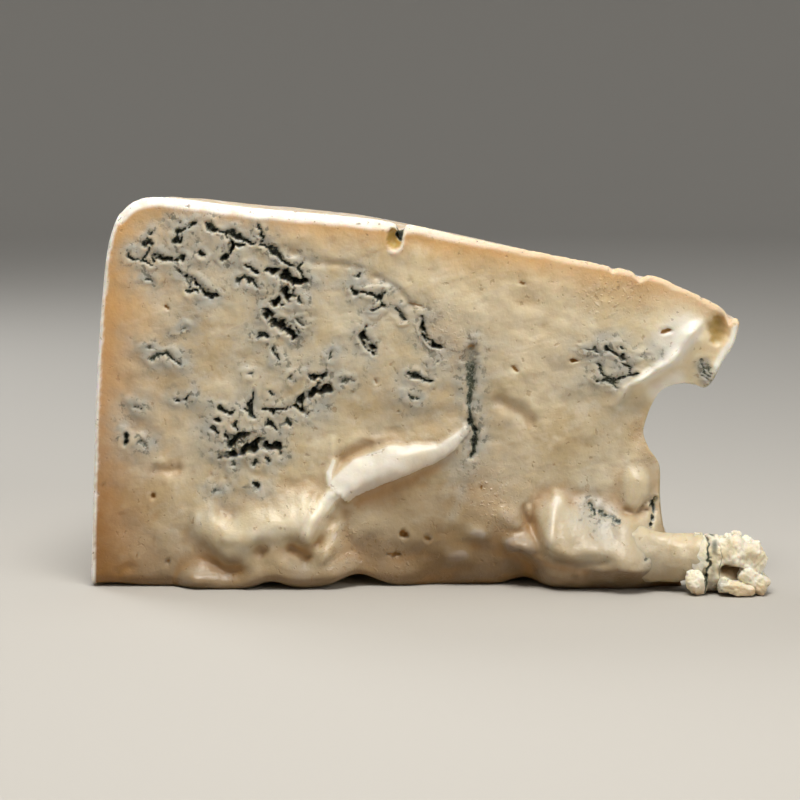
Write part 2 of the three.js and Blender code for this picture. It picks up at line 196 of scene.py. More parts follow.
# %% The lines of the pockets, as (reach, height) points with half width and depth
VEINS = [
    ([(14.2, 78.7), (12.6, 76.9), (14.2, 76.2), (13.8, 74.8), (12.2, 73.1)], 0.55, 1.3),
    ([(9.8, 75.2), (9.9, 73.8), (12.4, 72.7), (14.5, 72.5)], 0.45, 1.0),
    ([(14.9, 73.7), (17.9, 73.8)], 1.0, 2.5),
    ([(19.1, 73.2), (21.4, 73.8)], 0.75, 2.0),
    ([(22.0, 80.6), (19.8, 78.9), (19.8, 77.3), (21.2, 78.3)], 0.65, 1.6),
    ([(23.9, 81.7), (22.6, 80.8)], 0.6, 1.2),
    ([(20.0, 82.0), (20.6, 81.7)], 0.35, 0.7),
    ([(26.9, 81.8), (28.6, 80.1), (30.7, 79.4), (33.5, 78.7), (36.0, 77.8), (37.8, 77.8)], 0.7, 1.8),
    ([(30.9, 78.9), (31.8, 77.3), (32.1, 75.9), (30.7, 73.4)], 1.15, 2.6),
    ([(32.0, 77.1), (34.5, 76.6)], 0.8, 1.6),
    ([(37.8, 80.8), (39.2, 78.7), (39.2, 76.9), (41.3, 75.5), (43.4, 73.4), (46.9, 71.3),
      (49.0, 68.8)], 0.5, 1.5),
    ([(47.5, 72.7), (46.8, 71.1)], 0.5, 1.2),
    ([(40.8, 70.8), (43.0, 70.2), (44.6, 69.1), (45.9, 68.3), (48.6, 69.0)], 1.6, 4.5),
    ([(45.8, 68.0), (44.2, 65.6), (41.7, 63.6)], 1.7, 5.0),
    ([(39.8, 62.1), (41.5, 60.3), (43.6, 58.3), (45.4, 56.3)], 1.45, 4.0),
    ([(46.0, 58.0), (47.0, 57.0)], 0.5, 1.0),
    ([(46.6, 60.6), (48.2, 59.4)], 0.7, 0.6),
    ([(22.2, 69.9), (24.7, 67.8), (28.5, 64.9)], 0.8, 2.5),
    ([(22.5, 66.7), (24.6, 65.6)], 0.5, 1.2),
    ([(36.0, 72.0), (37.7, 70.2)], 0.8, 1.8),
    ([(33.1, 68.8), (35.9, 68.5), (37.7, 67.1)], 0.5, 1.1),
    ([(25.0, 74.9), (25.6, 74.2)], 0.7, 1.4),
    ([(19.8, 70.9), (21.2, 70.2)], 0.55, 1.2),
    ([(13.8, 69.6), (14.9, 68.9)], 0.45, 0.8),
    ([(20.3, 57.6), (21.6, 58.3)], 0.55, 0.7),
    ([(14.6, 51.2), (16.1, 52.0), (17.8, 52.1), (19.2, 51.6), (20.2, 50.7)], 0.7, 0.8),
    ([(13.2, 53.8), (13.7, 53.5)], 0.35, 0.6),
    ([(37.9, 56.5), (39.0, 57.2), (40.1, 56.1)], 0.8, 1.6),
    ([(47.0, 65.2), (47.9, 63.8)], 0.5, 1.2),
    ([(49.5, 47.8), (50.4, 47.2), (52.6, 47.5)], 1.0, 2.4),
    ([(52.9, 45.2), (51.0, 44.3), (49.1, 43.4)], 1.5, 4.0),
    ([(49.1, 43.4), (46.9, 42.2), (45.4, 40.4), (48.5, 39.5)], 0.95, 3.0),
    ([(39.1, 40.6), (41.9, 40.1), (44.1, 40.4)], 0.6, 1.8),
    ([(36.6, 43.6), (36.0, 41.2), (36.3, 39.0), (34.6, 40.0)], 0.7, 1.8),
    ([(28.5, 40.3), (31.9, 39.0)], 0.6, 1.6),
    ([(27.9, 37.7), (29.6, 37.4)], 0.9, 2.0),
    ([(27.6, 35.9), (28.5, 34.9)], 0.6, 1.3),
    ([(32.9, 37.7), (33.2, 35.5)], 0.6, 1.4),
    ([(30.8, 34.8), (32.1, 33.0), (34.7, 34.3)], 1.3, 3.2),
    ([(29.4, 29.9), (32.8, 30.8), (36.6, 32.1), (39.1, 32.4), (42.2, 31.8)], 1.5, 5.0),
    ([(37.4, 29.2), (37.2, 27.9)], 0.5, 1.0),
    ([(39.2, 29.1), (39.8, 28.2)], 0.45, 0.8),
    ([(31.9, 28.4), (32.1, 27.2)], 0.5, 0.6),
    ([(42.3, 30.6), (42.9, 29.6)], 0.45, 0.9),
    ([(40.1, 38.1), (40.4, 36.2), (41.9, 34.9)], 0.55, 1.4),
    ([(43.9, 36.2), (45.1, 36.9)], 0.7, 0.8),
    ([(40.7, 44.3), (41.1, 43.7)], 0.45, 0.8),
    ([(35.6, 47.9), (36.3, 47.6)], 0.4, 0.8),
    ([(44.8, 47.2), (45.9, 47.3)], 0.4, 0.7),
    ([(36.7, 22.7), (37.6, 22.8)], 0.8, 2.0),
    ([(28.2, 22.1), (29.6, 21.9)], 0.45, 0.7),
    ([(40.8, 54.0), (41.7, 50.6)], 0.35, 0.9),
    ([(19.5, 42.4), (20.5, 42.0), (21.7, 42.5), (22.9, 43.8)], 0.42, 1.0),
    ([(9.8, 41.8), (11.9, 39.8)], 0.3, 0.8),
    ([(7.6, 34.2), (8.5, 33.3)], 0.9, 2.0),
    ([(11.4, 32.9), (12.8, 32.2)], 0.7, 0.5),
    ([(54.3, 53.0), (53.7, 51.6)], 0.35, 0.7),
    ([(56.4, 46.1), (58.2, 46.5)], 0.7, 0.5),
    ([(59.8, 70.4), (60.2, 69.2)], 0.4, 1.0),
    ([(58.4, 67.1), (59.7, 65.8), (62.9, 65.8), (64.9, 65.5), (65.9, 66.5)], 0.6, 1.6),
    ([(64.2, 65.8), (65.3, 64.9)], 1.1, 2.4),
    ([(64.9, 65.5), (65.5, 63.2), (63.2, 61.9)], 0.65, 1.8),
    ([(68.1, 62.6), (70.1, 60.3)], 0.5, 0.8),
    ([(61.6, 57.8), (61.8, 55.4), (63.2, 52.8)], 1.1, 3.2),
    ([(74.2, 61.0), (74.6, 57.4), (76.2, 54.8), (78.9, 53.5)], 0.85, 2.8),
    ([(70.7, 47.9), (73.0, 47.7), (76.2, 46.3)], 0.6, 1.6),
    ([(71.0, 43.1), (72.4, 42.4), (73.4, 42.6)], 0.55, 0.8),
    ([(76.9, 50.8), (77.4, 50.2)], 0.4, 0.6),
    ([(110.3, 53.8), (112.2, 54.2), (113.1, 53.1)], 0.32, 0.9),
    ([(115.0, 53.8), (115.6, 52.6), (117.5, 51.7), (119.0, 52.0)], 0.38, 1.2),
    ([(117.8, 51.4), (119.7, 50.1), (120.3, 48.7)], 0.38, 1.2),
    ([(118.2, 54.1), (118.7, 53.4)], 0.35, 1.0),
    ([(113.1, 50.7), (114.1, 48.9), (114.7, 47.0), (112.9, 46.2)], 0.42, 1.4),
    ([(114.7, 47.0), (116.9, 47.0), (119.1, 48.2), (121.9, 48.2)], 0.42, 1.4),
    ([(116.6, 47.1), (117.5, 44.5)], 0.35, 1.0),
    ([(122.6, 52.0), (124.4, 52.2)], 0.4, 0.4),
    ([(136.0, 50.8), (137.2, 48.6), (138.2, 46.2)], 0.4, 0.6),
    ([(137.6, 50.8), (138.8, 47.8)], 0.3, 0.5),
    ([(136.4, 48.0), (137.2, 46.2)], 0.3, 0.5),
    ([(111.2, 18.8), (113.6, 17.8), (115.6, 16.9), (117.5, 16.3)], 0.62, 1.0),
    ([(123.7, 10.8), (123.5, 9.8)], 0.6, 0.9),
    ([(125.9, 20.0), (125.6, 17.7), (125.0, 14.7)], 0.8, 1.6),
]
NEEDLE_TRACK = [
    ([(85.1, 54.4), (85.0, 51.2), (84.8, 41.4)], 1.6, 1.3),
    ([(84.9, 42.2), (84.8, 37.6), (86.1, 35.0), (85.9, 31.0), (85.1, 29.1)], 0.75, 1.8),
]
EYES = [
    ([(107.0, 51.1), (108.4, 50.9)], 0.75, 2.0),
    ([(108.7, 55.1), (109.1, 54.7)], 0.45, 0.7),
    ([(127.6, 57.3), (128.9, 57.9)], 1.2, 1.7),
    ([(94.3, 49.4), (95.4, 48.8)], 0.9, 1.4),
    ([(95.7, 68.5), (96.7, 67.9)], 0.5, 1.2),
    ([(116.5, 63.1), (116.9, 62.9)], 0.4, 0.7),
    ([(69.4, 12.4), (70.8, 12.3)], 1.4, 2.6),
    ([(75.1, 11.4), (75.9, 11.1)], 1.25, 2.4),
    ([(66.5, 7.5), (68.8, 7.5)], 0.75, 2.2),
    ([(87.4, 22.6), (87.7, 22.2)], 0.6, 1.2),
    ([(68.8, 39.8), (69.2, 39.8)], 0.45, 1.0),
    ([(63.9, 46.8), (64.2, 45.9)], 0.5, 0.9),
    ([(71.2, 69.1), (71.6, 68.9)], 0.4, 0.6),
    ([(27.2, 25.7), (27.6, 25.5)], 0.4, 0.7),
    ([(29.9, 24.9), (30.4, 24.5)], 0.45, 0.8),
    ([(13.9, 20.7), (14.6, 20.3)], 0.65, 1.8),
    ([(10.0, 7.3), (10.4, 7.1)], 0.45, 1.2),
    ([(16.9, 5.5), (17.8, 5.9)], 0.6, 1.8),
    ([(17.2, 63.0), (18.2, 62.6)], 0.55, 1.4),
    ([(71.4, 63.6), (74.6, 62.9)], 0.5, 0.9),
    ([(2.6, 23.2), (3.2, 22.8)], 0.5, 1.0),
]
print(f"{len(VEINS)} veins, {len(EYES)} eyes")


# %% Distance to a line, and pockets carved along lines
def line_distance(x, z, points):
    """Least distance from each place to the stretches of a broken line, and how far along it that is."""
    least, share = np.full(x.shape, np.inf), np.zeros(x.shape)
    for k, ((x0, z0), (x1, z1)) in enumerate(zip(points[:-1], points[1:])):
        run, rise = x1 - x0, z1 - z0
        t = np.clip(((x - x0) * run + (z - z0) * rise) / (run**2 + rise**2), 0, 1)
        distance = np.hypot(x - x0 - t * run, z - z0 - t * rise)
        share = np.where(distance < least, (k + t) / (len(points) - 1), share)
        least = np.minimum(least, distance)
    return least, share


def carved(x, z, strokes, wobble, ragged):
    """Pockets: t falls from 1 on a line to 0 at its wall, and the depth is 1 - (1 - t)^2.5 of the line's own.

    A line is narrow at its ends and widest in its middle. Gives the depth of the deepest pocket, how far
    that is towards its floor, and how far each place is from the nearest wall."""
    depth, floor = np.zeros(x.shape), np.zeros(x.shape)
    away = np.full(x.shape, np.inf)
    for points, half, deep in strokes:
        distance, share = line_distance(x, z, points)
        width = 0.8 * half * wobble * (0.45 + 0.55 * np.sin(np.pi * (0.1 + 0.8 * share)))
        profile = 1 - (1 - np.clip(1 - distance / width + ragged, 0, 1)) ** 2.5
        depth = np.maximum(depth, deep * profile)
        floor = np.maximum(floor, profile * min(1, deep / 1.3))
        away = np.minimum(away, np.maximum(distance - width, 0))
    return depth, floor, away


def carve_cut(x, z, strokes, tear, seed):
    """Carve pockets through a warped copy of the cut: tear says how ragged, crumbs stay on the floors."""
    flat = np.stack([x, np.zeros_like(x), z], -1)
    warp = [tear * octaves(flat, (0.9, 4.2, seed + k), (0.75, 1.8, seed + 10 + k), (0.3, 0.8, seed + 20 + k))
            for k in range(2)]
    wobble = np.clip(1 + 0.75 * tear * noise(flat, 2.6, seed + 30), 0.35, 1.7)
    ragged = tear * octaves(flat, (0.55, 1.3, seed + 50), (0.35, 0.7, seed + 60))
    depth, floor, away = carved(x + warp[0], z + warp[1], strokes, wobble, ragged)
    crumbs = tear * smooth_step(0.0, 0.3, noise(flat, 1.7, seed + 40)) * smooth_step(1.0, 2.6, depth)
    return depth * (1 - 0.9 * crumbs), floor * (1 - 0.85 * crumbs), away


# %% Pockets, needle track and eyes of the front cut
vein_depth, vein_floor, vein_away = carve_cut(reach, height, VEINS, 1.0, 11)
track_depth, track_floor, track_away = carve_cut(reach, height, NEEDLE_TRACK, 0.45, 71)
track_floor = track_floor * np.interp(height, [38, 41, 49.5, 51.5], [1, 0.6, 0.5, 0.16])
vein_depth, vein_floor = np.maximum(vein_depth, track_depth), np.maximum(vein_floor, track_floor)
vein_away = np.minimum(vein_away, track_away)
eye_depth, eye_floor, _ = carve_cut(reach, height, EYES, 0.4, 111)
eye_depth = 0.65 * eye_depth
print(f"deepest pocket {vein_depth.max():.2f} mm")

# %% [markdown]
# ## Running cream
# Under its own weight the ripe paste swells out of the cut and runs down to the table. It could be sculpted
# by hand, but a few formulas are easier to move about. The broad swellings are capsules on the cut: a middle
# line, a radius and a height, added by a power and a root so that they melt into each other. Folds of cream
# lie on them as soft crests, with hollows between.

# %% Swellings, as (from, to, radius, height)
SWELLINGS = [
    ((24.5, 1.0), (36, 1.0), 6.0, 4.2),
    ((28.4, 14.2), (32.6, 8.2), 7.2, 2.8),
    ((34, 13), (49, 15.5), 9.0, 4.6),
    ((38, 3.0), (54, 2.4), 7.5, 4.4),
    ((32, 7.5), (52, 8.5), 7.0, 3.4),
    ((57, 22), (80, 33), 6.5, 1.2),
    ((64, 14), (94, 16), 9.0, 1.4),
    ((106, 11), (120, 9.6), 11.5, 8.8),
    ((104.5, 3.6), (122.5, 3.6), 6.5, 5.6),
    ((117.5, 8.4), (121.6, 8.0), 9.0, 8.3),
    ((121.6, 24.4), (120.8, 19.6), 3.9, 2.4),
]
print(f"{len(SWELLINGS)} swellings")

# %% Crests and hollows on them, as points, half width and size
CRESTS = [
    ([(24.6, 16.4), (26.8, 14.4), (29, 11.8), (31.5, 10.4)], 3.0, 0.7),
    ([(31, 12.6), (36, 13.5), (40, 14.9), (44.5, 16.4), (47.5, 17.2)], 3.0, 1.0),
    ([(54.2, 21.4), (51.6, 18.2), (49.4, 15.4), (48.5, 13.2)], 1.7, 2.0),
    ([(54.4, 28.4), (53.6, 26), (53.9, 23.4)], 0.9, 1.1),
    ([(54.6, 33), (54.4, 28.4)], 0.9, 0.4),
    ([(54, 12.6), (52.4, 7)], 1.8, 1.0),
    ([(35.6, 12), (38.6, 11.8), (40.6, 9.8), (39.8, 7.4)], 1.1, 0.8),
    ([(41.4, 7.2), (42.6, 6)], 1.6, 0.8),
    ([(95.8, 10.2), (96.8, 9.8)], 2.4, 3.4),
    ([(104.9, 20), (103.4, 17), (102.4, 14.4), (101.6, 12)], 1.5, 1.3),
    ([(101.6, 11.6), (104, 11), (107.3, 10.2), (110.8, 11.6), (113, 12)], 1.2, 0.7),
    ([(108.8, 4.4), (109.4, 0)], 1.5, 0.7),
    ([(117, 6), (118, 0)], 2.0, 0.7),
    ([(80.6, 7), (83.8, 7)], 1.8, 0.9),
    ([(86.2, 12.4), (87.8, 12.2)], 1.7, 1.0),
    ([(92.4, 17.5), (95.5, 15)], 2.0, 0.8),
]
HOLLOWS = [
    ([(37.6, 10.2), (38.6, 9.8)], 1.7, 1.3),
    ([(45, 10.4), (49, 8.2)], 1.3, 1.5),
    ([(29, 5.6), (31.4, 4.4), (33.4, 4.0)], 2.0, 0.8),
    ([(29.6, 18.2), (31.6, 17.6)], 1.5, 0.9),
    ([(53.8, 16), (51.4, 11.6)], 1.2, 1.2),
    ([(97.6, 17.8), (98.8, 15), (99.8, 12.6), (100.4, 9)], 1.4, 1.8),
    ([(101.6, 9.4), (104, 8.6), (107.5, 8), (111, 9.2), (115, 9.6)], 1.3, 1.2),
    ([(119.2, 17.6), (121.5, 16.8), (124.2, 18.6)], 0.9, 1.6),
]
print(f"{len(CRESTS)} crests and {len(HOLLOWS)} hollows")

# %% How far the cream stands out of the cut
ROLL_POWER = 3


def roll_heights(x, z, rolls):
    """Root of the summed powers of each roll's height times (1 - d^2)^2, d being distance over radius."""
    total = np.zeros(x.shape)
    for start, end, radius, tall in rolls:
        d = line_distance(x, z, [start, end])[0] / radius
        total += (tall * np.clip(1 - d**2, 0, 1) ** 2) ** ROLL_POWER
    return total ** (1 / ROLL_POWER)


def soft_lines(x, z, lines):
    """Largest of soft lines: each is its size times the bell exp(-d^2 / half^2) of the distance d to it."""
    bells = [size * np.exp(-((line_distance(x, z, points)[0] / half) ** 2)) for points, half, size in lines]
    return np.max(bells, axis=0)


flat_cut = np.stack([reach, np.zeros_like(reach), height], -1)
sway = [octaves(flat_cut, (0.9, 9, 60 + k), (0.25, 3.5, 65 + k)) for k in range(2)]
swayed = reach + sway[0], height + sway[1]
rolls = roll_heights(*swayed, SWELLINGS) * (1 + 0.1 * noise(flat_cut, 5, 69))
crest = soft_lines(*swayed, CRESTS) * (1 + 0.35 * noise(flat_cut, 3, 70))
hollow = soft_lines(*swayed, HOLLOWS)
print(f"cream stands out up to {(rolls + crest).max():.1f} mm")

# %% [markdown]
# ## The curl of cream
# The knife has pushed up a curl that lies across the cut: pointed at the needle track, wider towards the left
# and ended by a blunt edge. It is a roof carried along a path: one side looks up at the light, one looks out,
# and a soft ridge runs between them. A piece of its own would show a seam all round, so it is raised out of
# the cut itself, and its lower edge is let down a little to overhang.

# %% The curl, as the points of its middle line and half widths from its tip to its blunt end
CURL_LINE = [(84.4, 36.2), (79.6, 32.6), (76.0, 30.9), (70.4, 29.6), (65.6, 28.4), (60.7, 26.3), (57.5, 24.4),
             (55.2, 21.8)]
CURL_HALF_WIDTHS = [1.2, 1.9, 2.4, 3.4, 4.0, 4.0, 3.8, 3.4]
CURL_TALL = 0.95  # height of the ridge for the half width
CURL_STEPS = 160


def beside_path(x, z, path):
    """For each place, the nearest point of a path, how far it is beside the path, and how far past it."""
    best, nearest = np.full(x.shape, np.inf), np.zeros(x.shape, int)
    for k, (px, pz) in enumerate(path):
        distance = np.hypot(x - px, z - pz)
        nearest = np.where(distance < best, k, nearest)
        best = np.minimum(best, distance)
    heading = np.gradient(path, axis=0)
    heading /= np.linalg.norm(heading, axis=1, keepdims=True)
    from_x, from_z = x - path[nearest, 0], z - path[nearest, 1]
    head_x, head_z = heading[nearest, 0], heading[nearest, 1]
    return nearest, from_x * head_z - from_z * head_x, from_x * head_x + from_z * head_z


def evened(values, count, width):
    """Values spread evenly over a count of places, then smoothed by a moving mean of that width."""
    spread = np.interp(np.linspace(0, 1, count), np.linspace(0, 1, len(values)), values)
    return np.convolve(np.pad(spread, width // 2, mode="edge"), np.ones(width) / width, mode="valid")


# %% The roof of the curl, with its share of the half width from -1 at the lower edge to 1 at the upper one
curl_path = smooth_line(CURL_LINE, np.linspace(0, 1, CURL_STEPS))
nearest, curl_across, curl_past = beside_path(reach + 0.3 * sway[0], height + 0.3 * sway[1], curl_path)
curl_width = evened(CURL_HALF_WIDTHS, CURL_STEPS, 15)[nearest]
curl_share = curl_across / curl_width + 0.07 * noise(flat_cut, 2.8, 142)
flat_part = 1 - smooth_step(62, 72, reach)
upper_side = np.clip(0.08 + 0.66 * (1 - curl_share), 0.01, None)
outer_side = np.clip(0.3 + 1.1 * (curl_share + 1), 0.01, None)
roof = (upper_side**-6 + outer_side**-6) ** (-1 / 6)
rounded = np.clip(1 - curl_share, 0, None) ** 0.9 * np.clip(1 + curl_share, 0, None) ** 0.5 / 1.15
soft_side = 0.12 + 0.25 * (1 - flat_part)
blunt_end = 1 - smooth_step(-0.9, 0.7, np.where(nearest == CURL_STEPS - 1, curl_past, -1))
pointed_end = smooth_step(-1.2, 0.2, np.where(nearest == 0, curl_past, 1))
upper_end = 1 - smooth_step(1 - soft_side, 1 + soft_side, curl_share)
curl_edges = smooth_step(-1.14, -0.96, curl_share) * upper_end * blunt_end * pointed_end
curl = CURL_TALL * curl_width * (flat_part * roof + (1 - flat_part) * rounded) * curl_edges
curl = curl * (1 + 0.12 * noise(flat_cut * [0.5, 1, 1], 3, 141))
curl_sunk = 0.35 * curl * (1 - smooth_step(-1.0, 0.1, curl_share))
print(f"curl stands out up to {curl.max():.1f} mm")

# %% [markdown]
# ## The root of the tongue
# At the foot of the tear a tongue of paste reaches out over the table. It is made later as a piece of its
# own, but its front side is already raised on the cut here. So the cream of the cut flows into the tongue,
# and hardly a seam shows where the two meet.

# %% The tongue, as points of its middle line and radii, and its front side on the cut
TONGUE_LINE = [(112, 2, 9.0), (117, -0.2, 9.0), (120.5, -1.4, 8.8), (124.5, -2.6, 8.0), (128.5, -3.8, 7.4),
               (131.5, -4.6, 7.6), (136.4, -5.3, 7.8)]
TONGUE_RADII = [6.6, 7.4, 7.0, 6.0, 4.8, 4.9, 5.3]
TONGUE_RINGS, ROOT_POWER = 90, 6
tongue_path = smooth_line(TONGUE_LINE, np.linspace(0, 1, TONGUE_RINGS))
tongue_radii = evened(TONGUE_RADII, TONGUE_RINGS, 13)


def front_of_tongue(x, z):
    """How far a round profile stands out: the path's own place plus the root of radius^2 - off^2."""
    out, middle_height, radius = (np.interp(x, tongue_path[:, 0], along_path)
                                  for along_path in (-tongue_path[:, 1], tongue_path[:, 2], tongue_radii))
    off = np.abs(z - middle_height)
    return np.where(off < radius, np.maximum(out, 0) + np.sqrt(np.clip(radius**2 - off**2, 0, None)), 0)


root = front_of_tongue(reach, height - 1.8 * smooth_step(2, 9, height))
root = root * smooth_step(110, 118, reach) * (1 - smooth_step(118.5, 127, reach))
rolls = (rolls**ROOT_POWER + root**ROOT_POWER) ** (1 / ROOT_POWER)
print(f"tongue's root stands out up to {root.max():.1f} mm")

# %% [markdown]
# ## The fold at the torn tip
# Where the tip was pulled off, the cut rolls over a soft lip and falls back to the torn wall. The lip runs
# from the beak down along the tear. Behind it the cut recedes in step with the distance, but never by more
# than a part of the cheese that is left there, which gets thin near the wheel's axis.

# %% How far the cut falls back beyond the lip
LIP = [(131, 0), (126, 12), (125, 20), (122.5, 28), (120.5, 36), (117.5, 41), (120, 45.4), (124.8, 48),
       (129.7, 51.2), (132.1, 54.3), (133.6, 56.9), (137, 61), (143, 64)]
LIP_SLOPE = 0.24
LIP_SHARE = 0.38  # of the distance to the wheel's axis
lip_reach = np.interp(height, [z for _, z in LIP], [x for x, _ in LIP])
beyond = np.maximum(reach - lip_reach, 0)
most = LIP_SHARE * (WHEEL_RADIUS - reach)
fall_back = most * (1 - np.exp(-LIP_SLOPE * beyond / most))
lip = np.exp(-(((reach - lip_reach + 0.6) / 1.4) ** 2)) * smooth_step(38, 46, height)
lip = lip * (1 - smooth_step(57, 61, height)) * (1 + 0.5 * noise(flat_cut, 4, 68))
HOLLOW = [([(139.9, 60.0), (139.3, 55.6)], 3.1, 1.8)]
FLAP = [(144.0, 59.6), (143.0, 55.4), (140.4, 50.4), (138.0, 46.2)]
hollow_depth, _, _ = carve_cut(reach, height, HOLLOW, 0.3, 211)
flap = np.exp(-((line_distance(reach, height, FLAP)[0] / 1.2) ** 2)) * smooth_step(44.5, 50, height)
print(f"falls back up to {fall_back.max():.1f} mm")

# %% [markdown]
# ## Edges, dents and grain
# The rind edge is nearly sharp. The base edge is rounder and is lifted off the table here and there. A needle
# that entered at the top left a notch in the rind, and there are two small cracks further along. The knife
# has left the paste slowly uneven, with fine drag marks across it. Each of these is a field of depths over
# the cut, and in the end they are all added.

# %% Distances to the rind, and the rounding of edges
SHARES = np.linspace(0, 1, 240)


def distance_to_side(grid, points):
    """Distance from each grid place to a side, as the least over points set closely along it."""
    least = np.full(grid.shape[:-1], np.inf)
    for point in points:
        least = np.minimum(least, np.hypot(*np.moveaxis(grid - point, -1, 0)))
    return least


def rind_distances(grid, sides):
    """Distances to the rim, to the top, and to the nearer of the two."""
    rim, top = (distance_to_side(grid, smooth_line(sides[key], SHARES)) for key in ("rind", "top"))
    return rim, top, np.minimum(rim, top)


def rounding(distance, radius):
    """How far a round edge falls back: radius less the height of a quarter circle."""
    inward = np.clip(1 - distance / radius, 0, 1)
    return radius * (1 - np.sqrt(1 - inward**2))


from_rim, from_top, from_rind = rind_distances(front, FRONT_SIDES)
rim_rind = 0.75 + octaves(flat_cut, (0.25, 5, 133), (0.25, 1.3, 136))
top_rind = np.interp(reach, [10, 66, 76, 92, 145], [2.0, 2.2, 1.6, 1.3, 1.2]) + 0.3 * noise(flat_cut, 4, 134)
edge = np.maximum(rounding(from_rim, rim_rind), rounding(from_top, 1.2 * top_rind))
edge = edge + 0.8 * rounding(height + 0.4, 3.4)
print(f"rind {top_rind.min():.1f} to {top_rind.max():.1f} mm thick at the top")

# %% Dips in the top edge and lifts of the base edge, as (reach, half width, size)
TOP_DIPS = [(69.5, 0.75, 3.2), (68.2, 2.4, 0.4), (122.4, 1.2, 1.6), (116.4, 0.7, 0.8), (142.4, 0.7, 2.2)]
BASE_LIFTS = [(4, 7, 0.8), (40.5, 4, 1.6), (59.5, 6, 2.8), (97, 4, 1.6)]
TOP_FADE, BASE_FADE = 3.0, 4.0  # how far a dip or a lift carries into the cut


def summed_bells(x, bells):
    """Sum of bell curves exp(-(x - middle)^2 / half^2) with their sizes."""
    return sum(size * np.exp(-(((x - middle) / half) ** 2)) for middle, half, size in bells)


dip = summed_bells(reach, TOP_DIPS) * np.exp(-from_top / TOP_FADE)
ragged_top = (0.1 + 0.25 * smooth_step(60, 110, reach)) * np.abs(noise(flat_cut, 1.5, 335))
dip = dip + ragged_top * np.exp(-from_top / 1.5)
lift = summed_bells(reach, BASE_LIFTS) * np.exp(-height / BASE_FADE)
print(f"top edge dips by {dip.max():.1f} mm, base lifts by {lift.max():.1f} mm")

# %% The needle's hole under the rind, a lens with a slit to the top edge
LENS_MIDDLE, LENS_HALF, LENS_DEEP = (67.9, 78.3), (1.55, 2.5), 2.2
SLIT = [(69.6, 83), (69.3, 81), (69.0, 79.2)]
fine_sway = noise(flat_cut, 1.4, 331)
across_lens = (reach + 0.25 * fine_sway - LENS_MIDDLE[0]) / LENS_HALF[0]
up_lens = (height - LENS_MIDDLE[1]) / LENS_HALF[1]
from_lens = np.hypot(across_lens, up_lens)
lens = np.sqrt(np.clip(1 - from_lens**2, 0, 1))
lens_rim = np.exp(-(((from_lens - 1.3) / 0.25) ** 2)) * smooth_step(-0.9, 0.6, across_lens - 0.5 * up_lens)
from_slit = line_distance(reach + 0.2 * fine_sway, height, SLIT)[0]
slit = 1 - smooth_step(0.35, 0.75, from_slit)
notch_depth = LENS_DEEP * lens + 4.0 * slit
print(f"needle hole {LENS_DEEP} mm deep")

# %% Unevenness of the paste and drag marks of the knife
DRAG_SLOPE, DRAG_STRETCH = 0.22, 1.7
inside = smooth_step(0, 7, from_rind) * smooth_step(0, 4, height)
dragged = np.stack([(reach + DRAG_SLOPE * height) / DRAG_STRETCH, np.zeros_like(reach),
                    height - DRAG_SLOPE * reach], -1)
uneven = octaves(flat_cut, (0.85, 15, 91), (0.42, 5, 98), (0.15, 2.4, 93), (0.06, 1.2, 94))
uneven = uneven + 0.3 * noise(dragged, 6, 92)
drag = 0.04 * noise(dragged * [0.15, 1, 1], 0.9, 95)
STREAKS = ((34.4, 54.6), 5.5, 0.8, math.radians(24))  # middle, radius, spacing and slope of scratched lines
(streak_x, streak_z), streak_radius, spacing, slope = STREAKS
from_streaks = np.hypot(reach - streak_x, height - streak_z) / streak_radius
across_streaks = (height - streak_z) * math.cos(slope) - (reach - streak_x) * math.sin(slope)
scratches = np.sin(2 * np.pi / spacing * across_streaks)
drag = drag + 0.05 * scratches * np.exp(-(from_streaks**4))
puff = 0.35 * np.exp(-(((vein_away - 0.8) / 0.8) ** 2)) * (1 + noise(flat_cut, 3, 96)) * (vein_depth < 0.05)
print(f"paste uneven by {np.std(uneven):.2f} mm")

# %% Soft grooves in the paste, as points, half width and depth
GROOVES = [
    ([(56.5, 28.8), (59, 30.4), (62, 32)], 1.5, 0.8),
    ([(63, 34.4), (68, 35.2)], 1.5, 0.6),
    ([(91.4, 42.4), (95, 40.4), (98.6, 37.4)], 1.5, 1.1),
    ([(39, 77.4), (44, 75.6), (50, 73.4), (55, 72.6), (60, 71)], 1.0, 0.5),
    ([(64, 69.5), (68, 67.2), (72, 63.4)], 0.8, 0.5),
    ([(14.4, 26.8), (17, 26.4), (19.8, 26.8)], 1.3, 1.1),
    ([(77, -1), (97, -1)], 5.0, 2.4),
    ([(6, 3.4), (9, 5)], 1.2, 0.7),
]
groove = soft_lines(reach + sway[1], height + sway[0], GROOVES)
print(f"{len(GROOVES)} grooves up to {groove.max():.2f} mm deep")

# %% The front cut in space
creamy = smooth_step(1.2, 4.0, rolls + curl + crest)
swell = np.hypot(rolls + crest - hollow, curl) + inside * (uneven + drag) * (1 - 0.75 * creamy)
swell = swell + puff * (1 - creamy) + 2.3 * lip + 1.2 * flap + 0.4 * lens_rim - groove
forward = swell - vein_depth - eye_depth - hollow_depth - notch_depth - fall_back - edge
SAG = 0.2  # how far a roll sinks for each millimetre that it stands out, above the foot
sunk = SAG * rolls * smooth_step(2, 9, height) + curl_sunk
front_points = np.stack([reach, -forward, height - sunk - dip + lift], -1)
print(f"front cut from {-forward.max():.1f} to {-forward.min():.1f} mm deep")

# %% [markdown]
# ## The back cut
# The other cut was made by one clean stroke, so it is flatter and less of it has run. Its pockets are the
# veins of the front turned about and moved: mould runs through the cheese, but not straight through.

# %% Pockets and eyes of the back cut
back_reach, back_height = back[..., 0], back[..., 1]
flat_back = np.stack([back_reach, np.full_like(back_reach, 90), back_height], -1)
